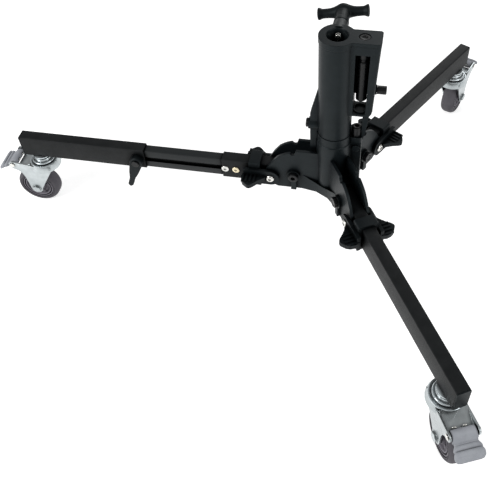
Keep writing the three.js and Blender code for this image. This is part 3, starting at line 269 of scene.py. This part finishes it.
def finish_of(name, dark, light, rough, metal=0.0, grain=900.0, grain_height=0.00006, mottle=60.0,
              edge=0.0005, specular=0.2, drawn=(1, 1, 1), cavity=1.6, reach=0.012, tone=(1, 1, 1)):
    """A finish in Object space: mottled colour between dark and light, roughness that wanders
    between two values, fine grain as bump over edges rounded by edge metres. Hollows within
    reach metres get painted shade: their colour and specular level go darker, by the power
    cavity. drawn stretches the grain along one axis, tone tints the reflections, and a
    grain_height of 0 gives a plated face, with the mottle as relief."""
    material = bpy.data.materials.new(name)
    material.use_nodes = True
    tree = material.node_tree
    shader = tree.nodes["Principled BSDF"]
    shader.inputs["Metallic"].default_value = metal
    shader.inputs["Specular Tint"].default_value = (*tone, 1)
    place = tree.nodes.new("ShaderNodeTexCoord")
    spread = node_of(tree, "ShaderNodeMapping", Scale=drawn)
    tree.links.new(place.outputs["Object"], spread.inputs["Vector"])
    broad = node_of(tree, "ShaderNodeTexNoise", Scale=mottle, Detail=4.0, Roughness=0.6)
    fine = node_of(tree, "ShaderNodeTexNoise", Scale=grain, Detail=3.0, Roughness=0.55)
    for noise in (broad, fine):
        tree.links.new(spread.outputs["Vector"], noise.inputs["Vector"])
    relief = (fine if grain_height else broad).outputs["Fac"]

    tint = tree.nodes.new("ShaderNodeValToRGB")
    for stop, position, colour in zip(tint.color_ramp.elements, MOTTLE_SPAN, (dark, light)):
        stop.position = position
        stop.color = (*colour, 1)
    tree.links.new(broad.outputs["Fac"], tint.inputs["Fac"])
    # Painted shade: ambient occlusion darkens the colour and the specular level in hollows, creases and
    # between parts.
    hollow = node_of(tree, "ShaderNodeAmbientOcclusion", Distance=reach)
    hollow.samples = NEARBY_SAMPLES
    painted_hollow_shade = maths(tree, "POWER", hollow.outputs["AO"], cavity)
    shade = tree.nodes.new("ShaderNodeVectorMath")
    shade.operation = "SCALE"
    tree.links.new(tint.outputs["Color"], shade.inputs[0])
    tree.links.new(painted_hollow_shade, shade.inputs["Scale"])
    tree.links.new(shade.outputs["Vector"], shader.inputs["Base Color"])
    hollow_shaded_sheen = maths(tree, "MULTIPLY", painted_hollow_shade, specular)
    tree.links.new(hollow_shaded_sheen, shader.inputs["Specular IOR Level"])

    gloss = node_of(tree, "ShaderNodeMapRange", From_Min=GRAIN_SPAN[0], From_Max=GRAIN_SPAN[1],
                    To_Min=rough[0], To_Max=rough[1])
    tree.links.new(relief, gloss.inputs["Value"])
    tree.links.new(gloss.outputs["Result"], shader.inputs["Roughness"])
    bump = node_of(tree, "ShaderNodeBump", Strength=1.0, Distance=grain_height or SMOOTH_RELIEF)
    tree.links.new(relief, bump.inputs["Height"])
    if edge:
        soft = node_of(tree, "ShaderNodeBevel", Radius=edge)
        soft.samples = NEARBY_SAMPLES
        tree.links.new(soft.outputs["Normal"], bump.inputs["Normal"])
    tree.links.new(bump.outputs["Normal"], shader.inputs["Normal"])
    return material


COOL_TONE = (0.84, 0.97, 1.0)
ALONG_X = (0.05, 1, 1)

powder_black = finish_of(
    "powder_black", (0.0042, 0.0062, 0.0074), (0.0070, 0.0096, 0.0112), (0.34, 0.48),
    grain=1500.0, grain_height=0.00005, edge=0.0009, specular=0.20, tone=COOL_TONE)
textured_charcoal = finish_of(
    "textured_charcoal", (0.0052, 0.0064, 0.0070), (0.0098, 0.0112, 0.0120), (0.42, 0.62),
    grain=1100.0, grain_height=0.00012, edge=0.0011, specular=0.19)
# Painted shade: the high cavity power paints the rail's groove nearly black.
drawn_grey = finish_of(
    "drawn_grey", (0.0120, 0.0145, 0.0156), (0.0160, 0.0188, 0.0200), (0.34, 0.46),
    grain=700.0, drawn=ALONG_X, grain_height=0.00003, specular=0.24, cavity=7.0)
moulded_black = finish_of(
    "moulded_black", (0.0034, 0.0048, 0.0057), (0.0056, 0.0074, 0.0085), (0.42, 0.56),
    grain=1800.0, grain_height=0.00005, edge=0.0008, specular=0.18, tone=COOL_TONE)
bright_plate = finish_of(
    "bright_plate", (0.40, 0.435, 0.445), (0.56, 0.60, 0.61), (0.24, 0.38), metal=1.0,
    grain=420.0, mottle=34.0, grain_height=0, edge=0.0008, reach=0.006, cavity=1.2)
race_plate = finish_of(
    "race_plate", (0.60, 0.66, 0.69), (0.78, 0.84, 0.86), (0.12, 0.20), metal=0.8,
    grain=420.0, mottle=40.0, grain_height=0, edge=0, reach=0.004, cavity=1.5)
screw_plate = finish_of(
    "screw_plate", (0.66, 0.66, 0.63), (0.80, 0.79, 0.75), (0.16, 0.26), metal=1.0,
    grain=700.0, grain_height=0.00001, edge=0, reach=0.003, cavity=2.0)
yellow_plate = finish_of(
    "yellow_plate", (0.70, 0.61, 0.42), (0.84, 0.76, 0.56), (0.18, 0.28), metal=1.0,
    grain=700.0, grain_height=0.00001, edge=0, reach=0.003, cavity=2.0)
oxide_black = finish_of(
    "oxide_black", (0.0036, 0.0042, 0.0050), (0.0066, 0.0074, 0.0084), (0.24, 0.36),
    grain=900.0, grain_height=0.00002, edge=0.0003, specular=0.28, reach=0.006)
tread_rubber = finish_of(
    "tread_rubber", (0.088, 0.083, 0.095), (0.116, 0.111, 0.125), (0.55, 0.72),
    grain=700.0, grain_height=0.00005, edge=0, reach=0.005, cavity=2.4)
core_moulding = finish_of(
    "core_moulding", (0.195, 0.184, 0.212), (0.240, 0.228, 0.258), (0.42, 0.55),
    grain=900.0, grain_height=0.00003, edge=0, reach=0.005, cavity=2.6)
pedal_moulding = finish_of(
    "pedal_moulding", (0.315, 0.330, 0.362), (0.385, 0.402, 0.436), (0.46, 0.62),
    grain=1400.0, grain_height=0.00008, edge=0, reach=0.004, cavity=2.0)

NODE_FINISH = {
    "satin_black_casting": powder_black,
    "charcoal_tube": textured_charcoal,
    "dark_rail": drawn_grey,
    "black_plastic": moulded_black,
    "bright_zinc": bright_plate,
    "brass_tint": yellow_plate,
    "dark_steel": oxide_black,
    "tyre_grey": tread_rubber,
    "core_grey": core_moulding,
    "pedal_grey": pedal_moulding,
}


def dress_cad_nodes(weld_reach=0.000005, crease=32.0):
    """Gives each CAD node its finish, and joins its loose triangles in the view so that round
    faces shade smoothly, up to an edge of crease degrees."""
    slots = {s["node"]: s["material_slot"] for s in frame["record"]["subparts"]}
    for name, obj in frame["nodes"].items():
        obj.data.materials.clear()
        obj.data.materials.append(NODE_FINISH[slots[name]])
        obj.data.polygons.foreach_set("use_smooth", np.ones(len(obj.data.polygons), bool))
        weld = obj.modifiers.new("weld", "WELD")
        weld.merge_threshold = weld_reach
        split = obj.modifiers.new("crease", "EDGE_SPLIT")
        split.split_angle = np.radians(crease)


# Casters

def on_axle(key, grid, side=1):
    """Lays a shape turned about Z on a caster's axle, with its top at the left for side 1."""
    return on_caster(key)(along_y(grid, AXLE_REACH, AXLE_HEIGHT, side))


def on_hinge(key, grid, side=1):
    """Lays a shape turned about Z on a brake pedal's hinge, with its top at the left for side 1."""
    return on_caster(key)(along_y(grid, HINGE_REACH, HINGE_HEIGHT, side))


def tyre(key):
    """The tread: a closed profile turned about the axle. Its radius is the wheel's, less
    4.6 |w|^4.2 with w from -1 to 1 across, and each side wall has a shallow moulded ring."""
    half_width, drop, power = 12.3, 4.6, 4.2
    w = np.linspace(-1, 1, 25)
    crown = np.stack([WHEEL_RADIUS - drop * np.abs(w) ** power, half_width * w], -1)
    wall = [(31.6, 12.5), (31.0, 12.0), (30.2, 12.0), (29.6, 12.5), (28.5, 12.3), (28.3, 11.0)]
    profile = np.array([*crown, *wall, *[(r, -y) for r, y in reversed(wall)]])
    piece(f"tread_{key}", [(on_axle(key, lathe(profile, 112)), True)], f"wheel_{key}", "tyre_grey",
          tread_rubber, f"caster_{key}_tyre")


def wheel_core(key):
    """The moulded core: a stepped profile with a ring groove, turned about the axle. Its web
    sinks by 2.4 (1 - |r - 16.4| / 4.6)^0.5, but for five ribs, where cos 5t is under -0.55."""
    ribs, rib_edge, web_radius, web_reach, web_depth = 5, -0.55, 16.4, 4.6, 2.4
    half = [(28.0, 10.6), (27.3, 11.6), (25.6, 11.6), (25.0, 9.4), (23.6, 9.4), (23.0, 11.4),
            (21.4, 11.4), (20.2, 8.6), (12.6, 8.0), (11.4, 11.6), (10.6, 13.4), (7.6, 13.5), (5.4, 13.5)]
    grid = lathe(rounded([*[(r, -y) for r, y in reversed(half)], *half], 0.5, 2), 120)
    r = np.hypot(grid[..., 0], grid[..., 1])
    t = np.arctan2(grid[..., 1], grid[..., 0])
    web = np.clip(1 - np.abs(r - web_radius) / web_reach, 0, 1)
    grid[..., 2] -= np.sign(grid[..., 2]) * web ** 0.5 * web_depth * (np.cos(ribs * t) > rib_edge)
    piece(f"core_{key}", [(on_axle(key, grid), True)], f"wheel_{key}", "core_grey", core_moulding,
          f"caster_{key}_wheel_core")


def axle(key):
    """The axle bolt: a plain shank, a domed hexagon head at one side and a lock nut at the other,
    each with its washer. The round forms are profiles turned about the axle."""
    seat, thick, flat = 17.6, 0.9, 6.3
    ring = [(4.2, seat), (8.2, seat), (8.2, seat + thick), (4.2, seat + thick)]
    washer = lathe(rounded(ring, 0.3, 2), 48)
    head = np.concatenate([hex_nut(flat, seat + thick, 21.3), lathe([(3.0, 21.6)], 48)])
    nut = np.concatenate([hex_nut(flat, seat + thick, 20.9), lathe([(4.6, 21.5), (3.2, 21.6)], 48)])
    shank = lathe([(3.9, -18.6), (3.9, 18.6)], 32)
    laid = ((washer, -1), (washer, 1), (head, -1), (nut, 1), (shank, 1))
    piece(f"axle_bolt_{key}", [(on_axle(key, grid, side), False) for grid, side in laid],
          f"fork_{key}", "bright_zinc", bright_plate, f"caster_{key}_axle")


def race(key):
    """The swivel race: a turned profile whose rolled lip and upper roll are arcs of 180 degrees,
    with the dust groove between them, and the plain stem above it in the leg."""
    arc = np.radians(np.arange(-60, 121, 20.0))
    lip = np.stack([17.6 + 2.0 * np.cos(arc), 103.6 + 2.0 * np.sin(arc)], -1)
    roll = np.stack([13.6 + 1.8 * np.cos(arc), 108.6 + 1.8 * np.sin(arc)], -1)
    profile = [(0.6, 101.4), (18.0, 101.4), *lip, (15.2, 105.2), (14.6, 105.4), (14.0, 106.6), *roll,
               (11.8, 110.0), (11.6, 111.6), (12.6, 112.2), (15.4, 112.7), (15.4, 114.7), (0.6, 114.7)]
    stem = lathe([(4.9, 114.6), (4.9, 123.8)], 32)
    place = under_leg(key)
    piece(f"race_{key}", [(place(lathe(rounded(profile, 0.5, 2), 96)), False), (place(stem), False)],
          CARRIER[key], "bright_zinc", race_plate, f"caster_{key}_top_race")


def crown_ring(key):
    """The rolled ring on the fork's crown: an ellipse turned about the swivel axis."""
    radius, height, half_width, half_height = 22.6, 100.4, 1.84, 1.15
    t = np.linspace(0, 2 * np.pi, 13)[:-1]
    bead = lathe(np.stack([radius + half_width * np.cos(t), height + half_height * np.sin(t)], -1), 96)
    piece(f"crown_ring_{key}", [(on_caster(key)(bead), True)], f"fork_{key}", "bright_zinc", race_plate)


def beak_tabs(key):
    """The brake spring's two tongues between the crown's beak and the pedal: superellipse
    sections carried round a quarter of an ellipse, x = 43.3 + 2.5 sin u and
    z = 100 - 3.2 (1 - cos u)."""
    root, out, top, drop = 43.3, 2.5, 100.0, 3.2
    u = np.linspace(0, np.pi / 2, 12)[:, None]
    y, z = superellipse(2.6, 0.65, 4.0, 24)
    shells = []
    for middle in (-8.5, 5.5):
        grid = np.stack([root + out * np.sin(u) + z * np.sin(u), middle + y + 0 * u,
                         top - drop * (1 - np.cos(u)) + z * np.cos(u)], -1)
        shells.append((on_caster(key)(grid), False))
    piece(f"beak_tabs_{key}", shells, f"fork_{key}", "bright_zinc", screw_plate)


# The brake pedal's side view and plan: stations along it and the value at each. A ridge has its
# rise, its place and its spread, and the treads lie between two places.
PEDAL_BARREL = 7.0
PEDAL_TIP = 82.5
PEDAL_MIDDLE = ([45.5, 57, 61, 65, 70, 75, 79, PEDAL_TIP],
                [97.5, 96.6, 93.6, 91.2, 90.4, 88.6, 85.9, 82.9])
PEDAL_HALF_THICKNESS = ([57.6, 60, 64, 69, 75, 80, 81.8, PEDAL_TIP],
                        [4.75, 4.0, 3.6, 4.1, 4.0, 3.5, 2.2, 0.5])
PEDAL_HALF_WIDTH = ([45, 60.2, 61.6, 63.4, 66, 68.5, 70.2, 71.4, 73.2, 76, 79.4, 81.6, PEDAL_TIP],
                    [17.3, 17.3, 15.9, 15.7, 17.4, 18.7, 18.9, 18.2, 19.4, 20.3, 19.8, 17.8, 14.0])
PEDAL_RIDGES = ((1.3, 66.8, 2.2), (-0.9, 70.9, 0.8), (1.5, 74.6, 2.4))
PEDAL_TREAD_SPAN = (62, 80)
PEDAL_TREAD_HEIGHT = 0.14
PEDAL_TREAD_PITCH = 1.6


def pedal(key):
    """The brake pedal: superellipse sections carried from the hinge barrel over the neck to the
    two ears and the rounded tip. The top face is lifted by two cross ridges and a groove, each
    h exp(-((x - c) / s)^2), and by fine treads, 0.14 cos(2 pi x / 1.6)."""
    round_barrel = HINGE_REACH + PEDAL_BARREL * np.sin(np.linspace(-np.pi / 2, 1.0, 15))
    x = np.unique(np.concatenate([round_barrel, np.linspace(59, PEDAL_TIP, 61)]))
    middle = np.interp(x, *PEDAL_MIDDLE)
    barrel = np.sqrt(np.clip(PEDAL_BARREL ** 2 - (x - HINGE_REACH) ** 2, 0.02, None))
    thick = np.where(x < PEDAL_HALF_THICKNESS[0][0], barrel, np.interp(x, *PEDAL_HALF_THICKNESS))
    ridges = sum(rise * np.exp(-((x - at) / spread) ** 2) for rise, at, spread in PEDAL_RIDGES)
    start, end = PEDAL_TREAD_SPAN
    tread = PEDAL_TREAD_HEIGHT * np.cos(2 * np.pi * x / PEDAL_TREAD_PITCH) * (x > start) * (x < end)
    y, z = superellipse(1.0, 1.0, 5.0, 72)
    lift = (ridges + tread)[:, None] * np.clip(z, 0, 1) ** 3
    grid = np.stack([x[:, None] + 0 * y, np.interp(x, *PEDAL_HALF_WIDTH)[:, None] * y,
                     middle[:, None] + thick[:, None] * z + lift], -1)
    piece(f"brake_pedal_{key}", [(on_caster(key)(grid), False)], f"pedal_{key}", "pedal_grey",
          pedal_moulding, f"caster_{key}_pedal", crease=50)


def hinge_pin(key):
    """The pedal's pin: two domed heads outside the fork's ears on a plain shank, all turned."""
    shank = lathe([(2.3, -21.4), (2.3, 21.4)], 24)
    head = lathe(rounded([(2.3, 21.2), (4.3, 21.2), (4.2, 22.3), (2.2, 22.8), (0.3, 22.8)], 0.5, 3), 40)
    laid = ((shank, 1), (head, -1), (head, 1))
    piece(f"hinge_pin_{key}", [(on_hinge(key, grid, side), False) for grid, side in laid],
          f"fork_{key}", "bright_zinc", screw_plate, f"caster_{key}_pedal_pin")


# Screws on the legs and the column

def leg_screws(key):
    """Button heads on the lock arms and the pivot bolt's black socket head."""
    place = on_leg(key)
    button = socket_head(6.6, 3.1, 2.5, 1.8, 3.0, 5.0, dome=1.3, seat=21.7)
    for side, label in ((1, "left"), (-1, "right")):
        grid = place(along_y(button, LOCK_SCREW_REACH, LEG_MID, side))
        piece(f"arm_screw_{key}_{label}", [(grid, False)], f"lock_{key}", "bright_zinc", screw_plate,
              f"leg_{key}_lock_screw_{label}")
    bolt = socket_head(7.8, 5.2, 3.4, 3.2, 3.9, 46.0, seat=20.3)
    grid = place(along_y(bolt, PIVOT_REACH, PIVOT_HEIGHT))
    piece(f"pivot_screw_{key}", [(grid, False)], "hub", "dark_steel", oxide_black,
          f"leg_{key}_pivot_bolt")


def rail_screws():
    """The sleeve's two plated button heads, the outer one bright and the inner one yellow."""
    button = socket_head(6.2, 1.9, 2.3, 1.3, 2.5, 9.5, dome=0.7, seat=10.2)
    for label, material, slot in (("outer", screw_plate, "bright_zinc"),
                                  ("inner", yellow_plate, "brass_tint")):
        grid = on_leg("a")(along_y(button, RAIL_SCREW_REACH[label], LEG_MID))
        piece(f"sleeve_screw_{label}", [(grid, False)], "leg_a", slot, material,
              f"leg_a_rail_screw_{label}")


def foot_screw():
    """The tall cap screw in the strut foot's tower, upright beside the column."""
    cap = socket_head(7.0, 17.0, 3.2, 4.0, 3.5, 15.0, seat=230.3) + [FOOT_SCREW_REACH, 0, 0]
    piece("foot_cap_screw", [(cap, False)], "hub", "dark_steel", oxide_black, "foot_screw")


def lug_screw():
    """The socket screw in the fin's lug, laid along X with its head out towards leg a."""
    screw = along_x(socket_head(7.0, 4.0, 3.0, 2.4, 3.0, 11.5, seat=38.8), 0, LUG_SCREW_HEIGHT, -1)
    piece("lug_screw", [(screw, False)], "hub", "dark_steel", oxide_black, "column_screw")


def set_screw():
    """The set screw's cap: its side is knurled, r (1 - 0.035) wherever cos 18t is over 0, below
    the plain edge at its top."""
    knurls, knurl_depth, knurl_radius, knurl_top = 18, 0.035, 6.0, 12.6
    cap = socket_head(6.2, 13.4, 3.4, 5.0, 3.0, 13.0, columns=72)
    r = np.hypot(cap[..., 0], cap[..., 1])
    t = np.arctan2(cap[..., 1], cap[..., 0])
    side = (r > knurl_radius) & (cap[..., 2] < knurl_top)
    cap[..., :2] *= np.where(side, 1 - knurl_depth * (np.cos(knurls * t) > 0), 1.0)[..., None]
    screw = along_x(cap + [0, 0, 58.3], 0, SET_SCREW_HEIGHT)
    piece("set_screw_cap", [(screw, False)], "set_screw", "dark_steel", oxide_black, "spigot_set_screw")


def spigot():
    """The stowed spigot: a turned pin with tapered ends and a groove for a clamp."""
    full, neck, core = 7.85, 6.0, 0.4
    profile = [(core, 298.4), (5.2, 298.4), (full, 301.0), (full, 366.5), (neck, 368.4), (neck, 371.6),
               (full, 373.5), (full, 403.6), (7.2, 404.35), (3.6, 404.35), (3.4, 403.2), (core, 403.0)]
    pin = lathe(rounded(profile, 0.7, 3), 64) + [SPIGOT_REACH, 0, 0]
    piece("spigot_pin", [(pin, False)], "spigot", "dark_steel", oxide_black, "stowed_spigot")


def clamp_screw():
    """The clamp screw: a rounded bright tip and a rolled thread up into the handle."""
    radius, pitch, depth = 4.95, 1.5, 0.75
    tip = lathe(rounded([(0.3, 7.4), (4.1, 7.4), (4.8, 9.4), (radius, 10.4)], 0.9, 3), 40)
    thread = threaded(radius, 10.5, 68.3, pitch, depth)
    screw = on_clamp(np.concatenate([tip, thread]))
    piece("clamp_thread", [(screw, False)], "clamp_screw", "bright_zinc", screw_plate, "clamp_screw")


def t_handle():
    """The moulded T handle. Along the bar, s, its two half sizes are a grip, plus a flare that
    rises as 3u^2 - 2u^3 to each end, plus a bell exp(-(s / 11.5)^2) over the crown, and both are
    drawn in at the ends by a circle's arc. Its underside is flatter. The neck is a waisted
    profile turned about the screw, and a voxel remesh runs the two together in a fillet."""
    bar_half, flare_from, flare_length, end_from, end_length = 37.6, 29.0, 6.5, 36.4, 1.2
    bell_width, bar_reach, bar_turn, under, crown_rise = 11.5, 90.0, -8.0, 0.82, 0.9
    s = np.linspace(-bar_half, bar_half, 109)
    away = np.abs(s)
    u = np.clip((away - flare_from) / flare_length, 0, 1)
    flare = u ** 2 * (3 - 2 * u)
    bell = np.exp(-(s / bell_width) ** 2)
    end = np.sqrt(np.clip(1 - np.clip((away - end_from) / end_length, 0, 1) ** 2, 0.3, 1))
    up = (7.6 + 2.2 * flare + 5.6 * bell) * end
    deep = (7.4 + 2.1 * flare + 3.4 * bell) * end
    t = np.linspace(0, 2 * np.pi, 48, endpoint=False)
    x = -up[:, None] * np.cos(t) * np.where(np.cos(t) > 0, 1.0, under) - crown_rise * bell[:, None]
    bar = np.stack([x, -s[:, None] + 0 * t, bar_reach + deep[:, None] * np.sin(t)], -1)
    neck = lathe(rounded([(0.4, 48.6), (10.2, 48.6), (11.0, 50.2), (11.0, 58.0), (10.2, 60.5),
                          (10.2, 76.0), (11.6, 88.0), (0.4, 92.0)], 1.2, 3), 48)
    handle = piece("t_bar", [(on_clamp(turned(bar, bar_turn)), False), (on_clamp(neck), False)],
                   "t_handle", "black_plastic", moulded_black, "t_handle")
    remesh = handle.modifiers.new("fillet", "REMESH")
    remesh.mode = "VOXEL"
    remesh.voxel_size = 0.0006
    remesh.use_smooth_shade = True
    smooth = handle.modifiers.new("soften", "CORRECTIVE_SMOOTH")
    smooth.use_only_smooth = True
    smooth.iterations = 5


# The studio and the camera, in metres

FLOOR_HALF = 6
FLOOR_GLOW = 0.62
SKY_STRENGTH = 0.4
LAMPS = (
    ("key", (-1.6, -1.3, 1.5), (0.05, 0.0, 0.15), 1.3, 34.0, (1.0, 0.995, 0.985)),
    ("fill", (1.9, -0.9, 1.1), (0.1, 0.0, 0.15), 1.4, 13.0, (0.985, 0.992, 1.0)),
    ("rim", (0.5, 2.2, 1.2), (0.1, 0.0, 0.2), 1.2, 9.0, (1.0, 1.0, 1.0)),
)

# The photograph's camera, solved from it by least squares. Pixels are the photograph's own.
PHOTO_SIZE = (488, 477)
FOCAL_PIXELS = 692.748
AXIS_PIXEL = (265.871, 179.303)
SENSOR_WIDTH = 36.0
CAMERA_PLACE = (0.2584242, -0.7688599, 0.9446602)
CAMERA_RIGHT = (0.9800075, 0.19300594, -0.0483116)
CAMERA_DOWN = (0.10785213, -0.71938962, -0.68618255)
CAMERA_AHEAD = (-0.16719217, 0.66725354, -0.72582332)


def turn_to(obj, x, y, z):
    """Turns an object so that its own axes point along the unit vectors x, y and z."""
    obj.rotation_mode = "QUATERNION"
    obj.rotation_quaternion = Matrix(np.stack([x, y, z], 1).tolist()).to_quaternion()


def pale_floor():
    """A pale floor that keeps the shadow. It glows a little where the camera or a shiny piece
    sees it, and the glow lights nothing else."""
    mesh = bpy.data.meshes.new("floor")
    corners = [(x * FLOOR_HALF, y * FLOOR_HALF, 0) for x, y in ((-1, -1), (1, -1), (1, 1), (-1, 1))]
    mesh.from_pydata(corners, [], [(0, 1, 2, 3)])
    floor = link("floor", mesh)
    paint = bpy.data.materials.new("floor_paint")
    paint.use_nodes = True
    tree = paint.node_tree
    shader = tree.nodes["Principled BSDF"]
    shader.inputs["Base Color"].default_value = (0.82, 0.82, 0.82, 1)
    shader.inputs["Roughness"].default_value = 0.9
    shader.inputs["Specular IOR Level"].default_value = 0.1
    shader.inputs["Emission Color"].default_value = (1, 1, 1, 1)
    path = tree.nodes.new("ShaderNodeLightPath")
    seen = tree.nodes.new("ShaderNodeMath")
    seen.operation = "MAXIMUM"
    tree.links.new(path.outputs["Is Camera Ray"], seen.inputs[0])
    tree.links.new(path.outputs["Is Glossy Ray"], seen.inputs[1])
    glow = maths(tree, "MULTIPLY", seen.outputs["Value"], FLOOR_GLOW)
    tree.links.new(glow, shader.inputs["Emission Strength"])
    mesh.materials.append(paint)


def pale_sky():
    """An even white sky."""
    sky = bpy.data.worlds.new("pale_sky")
    bpy.context.scene.world = sky
    sky.use_nodes = True
    light = sky.node_tree.nodes["Background"]
    light.inputs["Color"].default_value = (1.0, 1.0, 1.0, 1)
    light.inputs["Strength"].default_value = SKY_STRENGTH


def soft_lamps():
    """A soft key from the upper left, a fill from the right and a rim light from behind. Each
    disk's own Z points back from its target, and its X stays level."""
    for name, centre, target, size, power, colour in LAMPS:
        lamp = bpy.data.lights.new(name, "AREA")
        lamp.shape = "DISK"
        lamp.size = size
        lamp.energy = power
        lamp.color = colour
        holder = link(name, lamp)
        holder.location = centre
        back = np.array(centre) - np.array(target)
        z = back / np.linalg.norm(back)
        x = np.cross([0, 0, 1], z)
        x /= np.linalg.norm(x)
        turn_to(holder, x, np.cross(z, x), z)


def camera():
    """The camera, with its lens and shift worked out from the photograph's pixels."""
    width, height = PHOTO_SIZE
    lens = bpy.data.cameras.new("camera")
    lens.sensor_fit = "HORIZONTAL"
    lens.sensor_width = SENSOR_WIDTH
    lens.lens = FOCAL_PIXELS / width * SENSOR_WIDTH
    lens.shift_x = (width / 2 - AXIS_PIXEL[0]) / width
    lens.shift_y = (AXIS_PIXEL[1] - height / 2) / width
    lens.clip_start = 0.05
    lens.clip_end = 50.0
    holder = link("camera", lens)
    holder.location = CAMERA_PLACE
    turn_to(holder, CAMERA_RIGHT, -np.array(CAMERA_DOWN), -np.array(CAMERA_AHEAD))
    bpy.context.scene.camera = holder


dress_cad_nodes()
for key in LEG_AZIMUTH:
    for make in (tyre, wheel_core, axle, race, crown_ring, beak_tabs, pedal, hinge_pin, leg_screws):
        make(key)
for make in (rail_screws, foot_screw, lug_screw, set_screw, spigot, clamp_screw, t_handle,
             pale_floor, pale_sky, soft_lamps, camera):
    make()
bpy.context.scene.view_settings.view_transform = "Standard"
